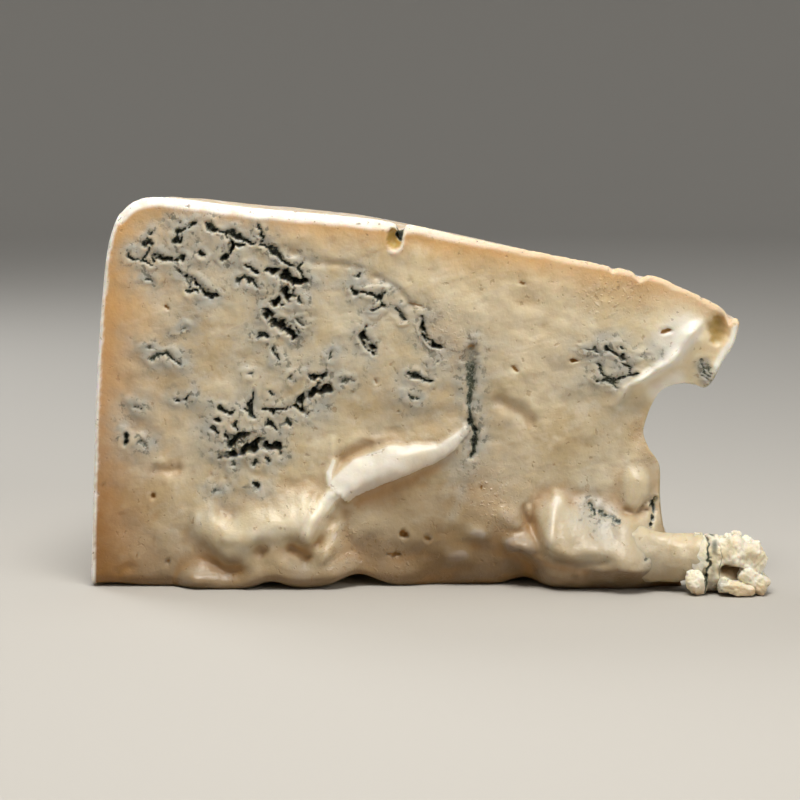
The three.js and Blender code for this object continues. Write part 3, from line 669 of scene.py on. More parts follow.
# Most veins are turned about by half a turn, some more are turned over, and a needle track is added.
BACK_VEINS = [([(118 - x, 96 - z) for x, z in points], 1.25 * half, deep)
              for points, half, deep in VEINS if points[0][0] < 100]
BACK_VEINS += [([(x + 6, 110 - z) for x, z in points], half, deep) for points, half, deep in VEINS[:20]]
BACK_VEINS += [([(28, 71), (27.6, 52), (27, 38)], 0.9, 1.4)]
BACK_EYES = [([(128 - x, 88 - z) for x, z in points], 1.2 * half, deep) for points, half, deep in EYES]
back_vein_depth, back_vein_floor, back_vein_away = carve_cut(back_reach, back_height, BACK_VEINS, 1.0, 411)
back_eye_depth, back_eye_floor, _ = carve_cut(back_reach, back_height, BACK_EYES, 0.4, 511)
print(f"{len(BACK_VEINS)} veins, {len(BACK_EYES)} eyes at the back")

# %% The back cut in space
BACK_ROLLS = [((12, 0), (58, 2), 13, 3.6), ((52, 3), (112, 0), 12, 4.6), ((78, 11), (96, 8), 8, 3.0)]
back_rolls = roll_heights(back_reach, back_height, BACK_ROLLS) * (1 + 0.25 * noise(flat_back, 7, 98))
back_from_rim, back_from_top, back_from_rind = rind_distances(back, BACK_SIDES)
back_inside = smooth_step(0, 6, back_from_rind) * smooth_step(0, 4, back_height)
clear = smooth_step(3, 7, back_from_rind)
back_vein_depth, back_vein_floor = clear * back_vein_depth, clear * back_vein_floor
back_eye_depth, back_eye_floor = clear * back_eye_depth, clear * back_eye_floor
back_uneven = octaves(flat_back, (0.8, 15, 95), (0.6, 6, 96), (0.3, 2.8, 97))
back_outward = back_rolls + back_inside * back_uneven - back_vein_depth - back_eye_depth
back_outward = back_outward - rounding(back_from_rind, 0.9)
BACK_FACES = np.array([math.sin(WEDGE_ANGLE), math.cos(WEDGE_ANGLE), 0])
back_points = swung(back_reach, back_height, WEDGE_ANGLE) + back_outward[..., None] * BACK_FACES
print(f"back grid {back_points.shape}")

# %% [markdown]
# ## The band between the cuts
# Rim, top, tear and base are one band: the front outline swung step by step to the back outline. It needs
# fewer faces than the front cut, so its first ring takes every second point of the outline and a row of
# triangles joins the two. The rind gets low swells, and the torn wall gets lumps.


# %% Rings of the band
def outline_loop(columns, rows):
    """Row and column of each grid point along the base, up the tear, back along the top and down the rind."""
    along_base, up_tear = np.arange(columns), np.arange(rows)
    row = [np.zeros(columns), up_tear, np.full(columns, rows), rows - up_tear]
    column = [along_base, np.full(rows, columns), columns - along_base, np.zeros(rows)]
    return np.concatenate(row).astype(int), np.concatenate(column).astype(int)


RINGS = 26
SINK_EASE = 1.6  # the top stays level behind the front cut and sinks further back
CRACK_FADE = 14  # a power of how much of the swing is left: cracks in the rind go a few millimetres back
front_loop = outline_loop(COLUMNS, ROWS)
back_loop = outline_loop(COLUMNS // 2, ROWS // 2)
side = np.repeat(["base", "tear", "top", "rind"], [COLUMNS // 2, ROWS // 2, COLUMNS // 2, ROWS // 2])
steps = np.arange(1, RINGS) / RINGS
turn = (0.4 * steps + 0.3 * (1 - np.cos(np.pi * steps)))[:, None]
near, far = front[front_loop][::2], back[back_loop]
sinking = turn**SINK_EASE
band = swung((1 - turn) * near[:, 0] + turn * far[:, 0], (1 - sinking) * near[:, 1] + sinking * far[:, 1],
             turn * WEDGE_ANGLE)
flat_edge = np.stack([near[:, 0], np.zeros(len(near)), near[:, 1]], -1)
moved = front_points[front_loop][::2] - flat_edge
left_to_swing = np.where((side == "top")[:, None] & (np.arange(3) == 2), CRACK_FADE, 1.4)
band = band + (1 - turn[..., None]) ** left_to_swing * moved
edge_dip = np.where(side == "top", dip[front_loop][::2], 0)
band_crack = smooth_step(1.3, 2.4, edge_dip * (1 - turn) ** CRACK_FADE)
print(f"band {band.shape}")

# %% Swells of the rind and lumps of the torn wall
along = np.roll(band, -1, axis=1) - np.roll(band, 1, axis=1)
outward = np.cross(np.gradient(band, axis=0), along)
outward /= np.maximum(np.linalg.norm(outward, axis=-1, keepdims=True), 1e-9)
thickness = WHEEL_RADIUS - near[:, 0]
rind_swell = octaves(band, (0.45, 18, 121), (0.25, 6, 122)) - 0.35
lumps = octaves(band, (1.5, 8, 123), (0.8, 3, 124), (0.3, 1.5, 125))
tear_lumps = lumps * np.clip(thickness / 25, 0, 1)
kind_of_relief = np.where(side == "tear", tear_lumps, np.where(side == "base", 0, rind_swell))
ends = smooth_step(0, 0.05, turn) * (1 - smooth_step(0.95, 1, turn)) * smooth_step(0, 4, band[..., 2])
band = band + outward * (kind_of_relief * ends)[..., None]
print(f"the band moves in and out by up to {np.abs(kind_of_relief * ends).max():.1f} mm")

# %% [markdown]
# ## One closed skin
# All points go into one mesh: front grid, rings, back grid. Three meshes side by side would leave open seams.
# Faces are whole arrays of indices, all turning the same way, so every face looks outwards.


# %% Faces of the skin
def grid_faces(ids):
    """Quads of a grid of vertex numbers, turning from the first axis to the second."""
    corners = [ids[:-1, :-1], ids[:-1, 1:], ids[1:, 1:], ids[1:, :-1]]
    return np.stack(corners, -1).reshape(-1, 4)


front_ids = np.arange(front_points[..., 0].size).reshape(ROWS + 1, COLUMNS + 1)
ring_ids = front_ids.size + np.arange(band[..., 0].size).reshape(band.shape[:2])
back_ids = front_ids.size + ring_ids.size + np.arange(back_points[..., 0].size).reshape(back_points.shape[:2])
rings = np.vstack([ring_ids, back_ids[back_loop]])
rings = np.hstack([rings, rings[:, :1]])
rim_ids = np.append(front_ids[front_loop], front_ids[0, 0])
even, odd, next_even = rim_ids[0:-1:2], rim_ids[1::2], rim_ids[2::2]
first, second = rings[0, :-1], rings[0, 1:]
stitches = np.vstack([np.stack(corners, -1) for corners in
                      ((even, first, odd), (odd, first, second), (odd, second, next_even))])
quads = np.vstack([grid_faces(front_ids), grid_faces(back_ids.T), grid_faces(rings.T)])
print(f"skin of {2 * len(quads) + len(stitches)} triangles")


# %% A mesh object from points, faces and values
def make_piece(name, points, faces, values, material):
    """A smooth mesh at the origin from points in mm and arrays of faces, with values for its attributes."""
    mesh = bpy.data.meshes.new(name)
    corners = placed(*np.moveaxis(points.reshape(-1, 3), -1, 0))
    mesh.from_pydata(corners, [], [face for block in faces for face in block.tolist()])
    mesh.polygons.foreach_set("use_smooth", np.ones(len(mesh.polygons), bool))
    for key, value in values.items():
        attribute = mesh.attributes.new(key, "FLOAT", "POINT")
        attribute.data.foreach_set("value", np.broadcast_to(value, len(mesh.vertices)).astype(np.float32))
    mesh.materials.append(material)
    piece = bpy.data.objects.new(name, mesh)
    bpy.context.scene.collection.objects.link(piece)
    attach(piece, "root")
    triangles = sum(len(face.vertices) - 2 for face in mesh.polygons)
    print(f"{name} {len(mesh.vertices)} points, {triangles} triangles")
    return piece


# %% [markdown]
# ## What grows where, and painted shade
# The finish of each spot is told to the material by values on the mesh, from 0 to 1: rind, the ochre layer
# under it, cream with some painted highlight, the grey tint round the mould (halo) and the mould itself. Then
# come the painted brown shade of hollows, the painted shade of what looks down or lies near the table, the
# inside of an eye, wet grain that glints, the gold of a needle's hole, and the weathered crust outside the
# rind. Values follow the relief exactly, which a pattern laid over the finished shape could not do.


# %% Blurred fields and soft patches
def blurred(field, radius):
    """Mean over a square of grid cells, by differences of running sums along each axis."""
    for axis in (0, 1):
        widths = [(radius + 1, radius) if axis == k else (0, 0) for k in (0, 1)]
        sums = np.cumsum(np.pad(field, widths, mode="edge"), axis=axis)
        ahead = np.take(sums, np.arange(2 * radius + 1, sums.shape[axis]), axis=axis)
        behind = np.take(sums, np.arange(0, sums.shape[axis] - 2 * radius - 1), axis=axis)
        field = (ahead - behind) / (2 * radius + 1)
    return field


def patches(places):
    """Largest of soft patches: strength times a bell of the distance to the line between two places."""
    bells = [strength * np.exp(-((line_distance(reach, height, [a, b])[0] / radius) ** 2))
             for a, b, radius, strength in places]
    return np.max(bells, axis=0)


# %% Rind, ochre layer, mould and its halo on the front cut
GREY = [((85.1, 29), (83.2, 20.9), 1.9, 0.7), ((83.2, 20.9), (81, 16.4), 1.6, 0.45),
        ((136.6, 50), (137.8, 46), 1.8, 1.1)]
patchy, fine = noise(flat_cut, 7, 131), noise(flat_cut, 2, 132)
rind = np.maximum(1 - smooth_step(rim_rind - 0.4, rim_rind + 0.4, from_rim),
                  1 - smooth_step(top_rind - 0.5, top_rind + 0.6, from_top))
rind = np.maximum(rind, lens_rim)
ochre_top = np.exp(-((from_top / (6.0 + 2.2 * patchy)) ** 2))
ochre_top = ochre_top * np.interp(reach, [0, 60, 110, 135], [1, 0.9, 0.75, 0.7])
ochre = np.maximum(np.minimum(1.3 * np.exp(-from_rim / 9), 1), ochre_top)
# painted highlight: the lower walls of pockets, which look up to the lamps, get less of the dark mould colour
lit_lower_wall = smooth_step(0.4, 2.5, np.gradient(vein_depth, axis=0) / np.gradient(height, axis=0))
mould = np.maximum(vein_floor * (1 - 0.75 * lit_lower_wall), slit)
halo = (0.7 * np.exp(-vein_away / 1.4) + 0.85 * np.exp(-vein_away / 7)) * (0.85 + 0.5 * patchy + 0.25 * fine)
halo = halo * (1 - 0.65 * smooth_step(112, 120, reach) * (1 - smooth_step(22, 30, height)))
# painted light: no grey tint beyond the lip, where the cut falls back from the lamps, nor on the lip
halo = halo * (1 - 0.85 * smooth_step(0, 2.5, beyond) * smooth_step(38, 44, height))
halo = np.maximum(halo * (1 - 0.85 * np.clip(lip, 0, 1)), patches(GREY))
print(f"mould covers {(mould > 0.4).mean():.3f} of the cut")

# %% Cream on the front cut, with pale patches of cream and of painted light as (from, to, radius, strength)
CREAM_AND_LIGHT_PATCHES = [((128, 54), (132, 58), 8, 0.95), ((131, 50), (137, 53), 5, 0.5), ((118, 60), (124, 58), 6, 0.4),
        ((98, 62), (108, 58), 11, 0.4), ((72, 62), (80, 64), 8, 0.3), ((112, 12), (128, 9), 8, 0.12),
        ((122, 42), (130, 48), 3, 0.6), ((126, 44), (131, 47), 4, 0.9), ((124, 47), (131, 52), 4, 0.8),
        ((84.4, 55.6), (85.8, 55.6), 0.5, 1), ((29.4, 13.2), (33.5, 10.4), 3.8, 0.5),
        ((37, 13.6), (48, 16.4), 4.2, 0.72), ((120, 10), (128, 9), 6, 0.34)]
flowing = smooth_step(0.8, 3.6, rolls) * np.interp(reach, [98, 106], [1, 0.45])
cream = np.maximum(flowing * (0.5 + 0.3 * patchy), patches(CREAM_AND_LIGHT_PATCHES))
cream = np.maximum(cream, 0.75 * smooth_step(0.2, 1.3, crest))
on_curl = smooth_step(0.3, 1.2, curl) * np.interp(reach, [66, 74], [1, 0.74])
# the lip is paler, partly cream and partly painted highlight
cream = np.clip(np.maximum(cream, on_curl) + 0.9 * lip + flap, 0, 1)
print(f"cream covers {(cream > 0.5).mean():.3f} of the cut")

# %% [markdown]
# ## Painted shade in hollows and at the foot
# Fat lets light through, so a hollow between two folds glows brown and a ridge looks paler than the rest. The
# foot of the cut lies in its own shade. The scattering of the finish gives a part of this. The rest is
# painted into the colour here as shade and highlight, worked out from the relief: how far a spot stands out
# of its blurred surroundings, how much it looks down, and how near it lies to the table.

# %% Painted shade on what looks down or lies near the table, with patches of it as (from, to, radius, strength)
along_front = np.cross(np.gradient(front_points, axis=1), np.gradient(front_points, axis=0))
facing_down = -along_front[..., 2] / np.maximum(np.linalg.norm(along_front, axis=-1), 1e-9)
# painted shade where the cut looks down
under = smooth_step(0.1, 0.8, blurred(facing_down, 4)) * (1 - smooth_step(12, 24, height))
# painted shade near the table: how high it reaches and how dark it gets along the cut
table_reach = np.interp(reach, [0, 18, 25, 50, 56, 64, 97, 103, 116, 122],
                        [13, 13, 9.5, 9.5, 12, 25, 23, 12, 12, 10])
near_table = np.interp(reach, [0, 12, 26, 56, 66, 78, 97, 103], [0.9, 0.75, 0.9, 0.9, 0.85, 1, 1, 0.85])
near_table = near_table * np.exp(-((height / table_reach) ** 2))
SHADE_PATCHES = [((66, 19), (86, 18), 8, 0.68), ((29.5, 3.4), (34, 2.2), 2.4, 0.8), ((44, 4), (49, 3.4), 3, 0.8),
        ((66, 40), (92, 36), 8, 0.14), ((127, 24), (126, 37), 5, 0.24),
        ((104, 31), (118, 38), 9, 0.2), ((104, 12), (118, 12), 8, 0.4), ((21, 48), (30, 62), 11, 0.13),
        ((122, 24), (121, 20), 4, 0.25), ((92, 60), (104, 56), 9, 0.1)]
shade = np.maximum(np.clip(0.9 * under + near_table, 0, 1), patches(SHADE_PATCHES))
print(f"shade covers {(shade > 0.5).mean():.3f} of the cut")

# %% Painted brown shade in hollows and under the curl, and painted highlight on ridges
# patches of painted brown shade, as (from, to, radius, strength)
BROWN_SHADE_PATCHES = [((60, 21.5), (68, 24.6), 1.6, 0.9), ((68, 24.6), (80, 30.4), 1.2, 0.7),
         ((56, 29), (63, 32.4), 1.6, 0.8), ((63, 32.4), (68, 34.2), 1.2, 0.5),
         ((57, 19.5), (60, 20.6), 1.4, 0.8), ((39, 9.8), (47, 8.6), 1.8, 0.6),
         ((29, 5.4), (32.6, 4.0), 1.8, 0.4), ((99, 14), (99.6, 9), 1.6, 0.8),
         ((102, 6.4), (110, 5.4), 1.4, 0.8), ((7, 4), (9, 5), 2, 0.7), ((2, 2), (3, 24), 9, 0.45),
         ((14.2, 26.4), (19.6, 26.6), 1.4, 0.6), ((93, 41.2), (98.4, 38), 1.3, 0.6),
         ((66, 42), (92, 36), 9, 0.22), ((94, 58), (106, 48), 10, 0.16)]
# painted brown shade in hollows of the relief and in the listed patches
brown = np.maximum(smooth_step(0.1, 1.7, blurred(swell, 9) - swell), patches(BROWN_SHADE_PATCHES))
brown = brown * np.clip(1 - 0.5 * crest, 0, 1)
# painted shadow under the lower edge of the curl
curl_shadow = np.exp(-(((curl_share + 1.5) / 0.5) ** 2)) * smooth_step(0.8, 3, curl_width)
curl_shadow = curl_shadow * blunt_end * pointed_end
stands_out = swell - blurred(swell, 6)
plain = (1 - creamy) * (1 - smooth_step(112, 120, reach) * smooth_step(36, 44, height))
# painted shade where a spot lies below its blurred surroundings
brown = np.maximum(brown, 0.48 * smooth_step(0.03, 0.4, -stands_out) * plain)
brown = np.maximum(brown, 0.95 * curl_shadow) * (1 - smooth_step(0.5, 1.5, curl))
# painted shade on the lower side of the curl
curl_low_shade = smooth_step(0.1, 0.85, -curl_share + 0.2 * fine) * smooth_step(0.5, 1.5, curl)
brown = np.maximum(brown, 0.32 * curl_low_shade)
# painted highlight where a spot stands out of its blurred surroundings
cream = np.clip(cream + 0.5 * smooth_step(0.03, 0.4, stands_out) * plain, 0, 1)
print(f"hollows cover {(brown > 0.5).mean():.3f} of the cut")

# %% Eyes, gold and wet grain
cap = np.exp(-(((reach - 85.1) / 1.0) ** 2) - ((height - 54.0) / 0.9) ** 2)  # over the needle track
eye = np.maximum(eye_floor, 0.85 * cap)
gold = np.maximum(smooth_step(0.4, 2.0, hollow_depth), smooth_step(0.1, 0.5, lens) * (1 - slit))
WET = [((113, 65), (122, 66.5), 3.2, 1), ((78, 58.5), (82, 54), 4.2, 1), ((57, 10.5), (67, 6), 4.5, 1),
       ((87, 24), (92, 16), 4, 1), ((122, 36), (124, 30), 2, 1)]
wet = patches(WET)
print(f"wet grain covers {(wet > 0.5).mean():.3f} of the cut")

# %% Values on the band: rind with its crust, and the torn wall with mould in it
band_rind = np.broadcast_to(np.isin(side, ["top", "rind"]), band.shape[:2]).astype(float)
band_crust = band_rind * smooth_step(0.01, 0.07, turn)
torn = (side == "tear") * ends
wall_patch = smooth_step(-0.05, 0.4, noise(band, 9, 183))
wall_vein = np.exp(-((noise(band, 5, 182) / 0.08) ** 2)) * wall_patch * torn
wall_cream = np.broadcast_to(np.where(side == "tear", 0.28, 0), band.shape[:2])
none_on_band = np.zeros(band_rind.shape)
print(f"mould covers {(wall_vein > 0.4).sum() / (torn > 0).sum():.3f} of the torn wall")

# %% Values on the back cut, and all values together
back_rind = 1 - smooth_step(0.5, 1.5, back_from_rind)
back_patchy = noise(flat_back, 7, 135)
back_halo = 0.6 * np.exp(-back_vein_away / 1.4) + 0.6 * np.exp(-back_vein_away / 6)
back_halo = back_halo * (0.85 + 0.5 * back_patchy)
back_ochre = np.exp(-((back_from_top / 6.5) ** 2)) * (1 + 0.35 * back_patchy)
back_ochre = np.maximum(np.exp(-back_from_rim / 6.5), back_ochre)
none_on_back = np.zeros(back_rind.shape)
body_values = {
    "rind": (rind, band_rind * (1 - band_crack), back_rind),
    "ochre": (ochre, none_on_band, back_ochre),
    "cream": (cream, wall_cream, 0.35 * smooth_step(0.6, 4, back_rolls)),
    "halo": (halo, 0.7 * wall_patch * torn, back_halo),
    "mould": (mould, np.maximum(band_crack, 0.8 * wall_vein), back_vein_floor),
    "brown": (brown, none_on_band, none_on_back),
    # painted shade near the table on the back cut
    "shade": (shade, none_on_band, 0.7 * np.exp(-((back_height / 10) ** 2))),
    "eye": (eye, none_on_band, back_eye_floor),
    "wet": (wet, none_on_band, none_on_back),
    "gold": (gold, none_on_band, none_on_back),
    "crust": (np.zeros(rind.shape), band_crust, none_on_back),
}
body_values = {key: np.clip(np.concatenate([part.ravel() for part in parts]), 0, 1)
               for key, parts in body_values.items()}
print("values:", ", ".join(body_values))

# %% [markdown]
# ## Finishes
# Soft blue cheese is a moist paste of milk fat and curd. Light goes a few millimetres in and comes out
# warmer, which is subsurface scattering, and a film of whey gives a soft gloss. Rind is dry and chalky.
# A finish could be drawn as a picture, but a stack of colours stays sharp at any distance: each layer covers
# those below it where a value on the mesh or a noise pattern says so. The stacks are tables here, because a
# table is easier to read and to tune than a tangle of nodes.
# Colours are written as sRGB hex and turned to linear light by one function.


# %% Colours and nodes
def linear(hex_colour):
    """sRGB hex to linear RGBA: each channel c becomes ((c + 0.055) / 1.055)^2.4, or c / 12.92 when dark."""
    channels = [int(hex_colour[k:k + 2], 16) / 255 for k in (1, 3, 5)]
    return [c / 12.92 if c <= 0.04045 else ((c + 0.055) / 1.055) ** 2.4 for c in channels] + [1.0]


def add(tree, kind, inputs=None, **settings):
    """Add a node: settings are its own options, inputs give each socket a value or another node's output."""
    node = tree.nodes.new("ShaderNode" + kind)
    for key, value in settings.items():
        setattr(node, key, value)
    for key, value in (inputs or {}).items():
        if isinstance(value, bpy.types.NodeSocket):
            tree.links.new(value, node.inputs[key])
        else:
            node.inputs[key].default_value = value
    return node


def per_metre(size_mm):
    """Texture scale, in repeats a metre, for a pattern of that size in millimetres."""
    return 1 / (size_mm * MM)


print(f"a pattern of 1 mm has a texture scale of {per_metre(1):.0f}")

# %% [markdown]
# ## Layers from tables
# A layer's cover is a product of parts, such as "where there is cream, in broad patches". A part is the name
# of a source, a number, or a span: a source's name, then from where to where it rises, then what it gives at
# both ends if that isn't 0 and 1. Relief is a sum of such products.

# %% Sources, covers, sums and stacks
SPAN_SOCKETS = ("Value", "From Min", "From Max", "To Min", "To Max")
MIX_FACTOR, MIX_A, MIX_B, MIX_RESULT = 0, 6, 7, 2  # sockets of a colour mix


def sources_of(tree, values, patterns):
    """What layers can read: place along and up, the mesh's values, and noise of (mm, detail, settings)."""
    here = add(tree, "TexCoord").outputs["Object"]
    place = add(tree, "SeparateXYZ", {0: here})
    sources = {"along": place.outputs["X"], "up": place.outputs["Z"]}
    for key in values:
        sources[key] = add(tree, "Attribute", attribute_name=key).outputs["Fac"]
    for key, (size_mm, detail, *settings) in patterns.items():
        inputs = {"Vector": here, "Scale": per_metre(size_mm), "Detail": detail}
        sources[key] = add(tree, "TexNoise", inputs | dict(settings)).outputs["Fac"]
    return sources


def cover(tree, sources, parts):
    """Product of the parts. A span eases from its low to its high end by the cubic 3t^2 - 2t^3."""
    product = None
    for part in parts:
        if isinstance(part, tuple):
            inputs = dict(zip(SPAN_SOCKETS, (sources[part[0]], *part[1:])))
            part = add(tree, "MapRange", inputs, interpolation_type="SMOOTHSTEP").outputs["Result"]
        elif isinstance(part, str):
            part = sources[part]
        both = {0: product, 1: part}
        product = part if product is None else add(tree, "Math", both, operation="MULTIPLY").outputs[0]
    return product


def summed(tree, sources, terms):
    """Sum of products, each given by its parts."""
    total = cover(tree, sources, terms[0])
    for parts in terms[1:]:
        both = {0: total, 1: cover(tree, sources, parts)}
        total = add(tree, "Math", both, operation="ADD").outputs[0]
    return total


def stacked(tree, sources, stacks):
    """Colours laid over each other by their covers. A finished stack can be a layer of a later one."""
    made = {}
    for name, (base, *layers) in stacks.items():
        colour = linear(base)
        for over, *parts in layers:
            over = made[over] if over in made else linear(over)
            inputs = {MIX_FACTOR: cover(tree, sources, parts), MIX_A: colour, MIX_B: over}
            colour = add(tree, "Mix", inputs, data_type="RGBA").outputs[MIX_RESULT]
        made[name] = colour
    return colour


# %% [markdown]
# ## The paste and the rind
# Ripe paste is ivory with warmer and paler clouds. Under the rind it has dried to ochre. Run-out cream is
# nearly white and smooth. Mould greys the paste round its pockets before it turns green and black. The rind
# is chalk white at its cut edge, with a weathered, mottled crust outside. One grows into the other without a
# border, so they are layers of one material. To the eye it is soft, moist and a little translucent, and dry
# on the rind.

# %% What the paste reads: values of the mesh, and noise patterns as (size in mm, detail)
PASTE_VALUES = ("rind", "ochre", "cream", "halo", "mould", "brown", "shade", "eye", "wet", "gold", "crust")
# Rind powder and mould spores are finer than this in truth, and are drawn as coarse as they need to show.
PASTE_PATTERNS = {
    "broad": (14, 2), "cloud": (5, 3, ("Distortion", 0.8)), "middle": (3.5, 3), "small": (0.9, 3),
    "tiny": (0.55, 2), "speckle": (1.3, 2), "pit_shade": (1.5, 2), "spore": (0.8, 2), "grain": (0.7, 4),
    "dimple": (2.2, 3), "bead": (0.9, 1), "powder": (0.8, 5, ("Roughness", 0.7)), "chalk dot": (1.1, 2),
    "bloom": (3.2, 4), "crust patch": (12, 2), "crust cloud": (6, 3, ("Distortion", 0.6)),
    "crust dot": (1.2, 3), "crust lump": (6, 3), "crust grain": (1.7, 4),
}
SPECK = (("speckle", 0.54, 0.68), ("halo", 0.4, 0.95))
TORN_MOULD = [("mould",), (1.1, "tiny", ("mould", 0, 0.3)), (-0.55, ("mould", 0, 0.3))]  # ragged border
print(f"{len(PASTE_PATTERNS)} patterns from {min(row[0] for row in PASTE_PATTERNS.values())} mm")

# %% Colours of the paste in layers, each with the parts of its cover
PASTE_STACKS = {
    "ochre": ["#9b6423", ("#cb903e", ("up", 0.008, 0.05)), ("#d99e42", ("up", 0.05, 0.08))],
    "cream": ["#f2e4c2", ("#fcf8ee", ("cream", 0.5, 0.95))],
    "crust": ["#cabda8", ("#b9a07c", ("crust patch", 0.35, 0.7)),
              ("#b7a594", ("crust cloud", 0.42, 0.75, 0, 0.8)), ("#e0d9cc", ("bloom", 0.45, 0.82, 0, 0.9)),
              ("#8a7861", ("crust dot", 0.6, 0.76, 0, 0.7))],
    "chalk": ["#fbf9f4", ("#efe7d8", ("middle", 0.45, 0.75)), ("#dcc29e", ("along", -0.04, 0.03, 0, 0.9)),
              ("#8d8272", ("chalk dot", 0.64, 0.74, 0, 0.8)), ("crust", "crust")],
    "mould": ["#11160e", ("#363d2f", ("small", 0.48, 0.7)), ("#8c8a7c", ("spore", 0.54, 0.66, 0, 0.7))],
    "paste": [
        "#d9cbad",
        ("#ccb68b", ("broad", 0.35, 0.65)),
        ("#e8dec8", ("middle", 0.45, 0.75, 0, 0.6)),
        ("#bfa57c", ("cloud", 0.52, 0.75, 0, 0.5)),
        ("ochre", "ochre", ("middle", 0.1, 0.8, 0.7, 1)),
        ("cream", "cream", ("broad", 0.2, 0.8, 0.85, 1)),
        # painted shade on what looks down and near the table
        ("#6a4919", "shade", 0.87),
        # painted brown shade in hollows and under the curl
        ("#a67636", "brown", 0.75),
        ("#aeaca2", "halo", ("middle", 0.2, 0.7, 0.6, 1)),
        ("#5c5d52", *SPECK, 0.7),
        ("#c2a582", "wet", 0.3),
        # painted shade in small pits
        ("#8c6b42", ("pit_shade", 0.65, 0.74, 0, 0.35)),
        ("chalk", "rind"),
        ("#b08040", ("eye", 0.25, 0.8)),
        ("#b89a50", "gold", ("small", 0.3, 0.7, 0.8, 1)),
        ("#8b8b7c", ("torn mould", 0.08, 0.28)),
        ("#4b5142", ("torn mould", 0.28, 0.5)),
        ("mould", ("torn mould", 0.5, 0.85)),
    ],
}
PASTE_RELIEF = [
    ("grain", 0.5, ("cream", 0.3, 1, 1, 0.5)),
    ("dimple", 1.2, ("cream", 0.3, 1, 1, 0.5)),
    ("wet", ("bead", 0.58, 0.7, 0, 2.4)),
    ("powder", "rind"),
    ("crust lump", 4.0, "crust", "rind"),
    ("crust grain", 2.0, "crust", "rind"),
    (-0.6, *SPECK),
    (("pit_shade", 0.65, 0.74, 0, -0.8),),
]
DRY_GLOSS = ("small", 0.3, 0.7, 0.34, 0.5)
GLOSS_OF = {"cream": 0.32, "rind": 0.85, "wet": 0.16}  # roughness where a value is full
print(f"{len(PASTE_STACKS)} stacks of colours, {len(PASTE_RELIEF)} kinds of relief")


# %% The paste as a material
def empty_material(name):
    """A new material with no nodes, and its tree."""
    material = bpy.data.materials.new(name)
    material.use_nodes = True
    material.node_tree.nodes.clear()
    return material, material.node_tree


def soft_paste(name):
    """Moist blue cheese paste: layers of colour by the mesh's values, soft scattering and a film of whey."""
    material, tree = empty_material(name)
    sources = sources_of(tree, PASTE_VALUES, PASTE_PATTERNS)
    sources["torn mould"] = summed(tree, sources, TORN_MOULD)
    gloss = cover(tree, sources, [DRY_GLOSS])
    for key, roughness in GLOSS_OF.items():
        inputs = {"Factor": sources[key], "A": gloss, "B": roughness}
        gloss = add(tree, "Mix", inputs, data_type="FLOAT").outputs["Result"]
    bumps = {"Height": summed(tree, sources, PASTE_RELIEF), "Strength": 0.4, "Distance": 0.5 * MM}
    surface = add(tree, "BsdfPrincipled", {
        "Base Color": stacked(tree, sources, PASTE_STACKS), "Roughness": gloss, "IOR": 1.45,
        "Normal": add(tree, "Bump", bumps).outputs["Normal"],
        "Coat Weight": 0.18, "Coat Roughness": 0.22, "Coat IOR": 1.35,
        "Subsurface Weight": 0.5, "Subsurface Radius": (1.0, 0.62, 0.3), "Subsurface Scale": 2.4 * MM,
    })
    add(tree, "OutputMaterial", {"Surface": surface.outputs["BSDF"]})
    print(f"{name} has {len(tree.nodes)} nodes")
    return material


PASTE = soft_paste("blue_cheese_paste")

# %% The body of the wedge
body_points = np.vstack([front_points.reshape(-1, 3), band.reshape(-1, 3), back_points.reshape(-1, 3)])
body_points[:, 2] = np.maximum(body_points[:, 2], 0)
body = make_piece("wedge_body", body_points, [quads, stitches], body_values, PASTE)
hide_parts("wedge")

# %% [markdown]
# ## The tongue
# A soft finger of paste was dragged out over the table when the tip was pulled off. A curve with a round
# bevel would give a smooth hose. Here the same is made by hand, so that it can be lumpy: rings square to a
# path, joined by quads and closed by a fan at each end. Noise of two widths moves the rings' points in and
# out, and the tongue is flat where it lies on the table.


# %% A closed piece from rings of points
def ring_faces(count, around):
    """Quads between rings of points, and fans from the first and last ring to two extra points."""
    ids = np.arange(count * around).reshape(count, around)
    ids = np.hstack([ids, ids[:, :1]])
    start, end = count * around, count * around + 1
    fan = [np.stack([ids[0, 1:], ids[0, :-1], np.full(around, start)], -1),
           np.stack([ids[-1, :-1], ids[-1, 1:], np.full(around, end)], -1)]
    return [grid_faces(ids), np.vstack(fan)]


def closed_rings(rings_of_points):
    """The ring points as one list, closed by the middle of the first and of the last ring."""
    ends = [rings_of_points[k].mean(axis=0, keepdims=True) for k in (0, -1)]
    return np.vstack([rings_of_points.reshape(-1, 3), *ends])


# %% Rings carried along a path
TOWARD = np.array([0.0, -1.0, 0.0])


def side_of(path):
    """Unit vectors across a path, square to it and to the front."""
    across = np.cross(np.gradient(path, axis=0), TOWARD)
    return across / np.linalg.norm(across, axis=1, keepdims=True)


def circle(around):
    """Directions all the way round, as (across, out)."""
    angle = np.linspace(0, 2 * np.pi, around, endpoint=False)
    return np.stack([np.cos(angle), np.sin(angle)], -1)


def carried_profile(path, across, out, widths, ring):
    """A ring of (across, out) points carried along a path, drawn to a width at each place of the path."""
    a, b = widths[:, None, None] * ring[..., :1], widths[:, None, None] * ring[..., 1:]
    return path[:, None] + a * across[:, None] + b * out


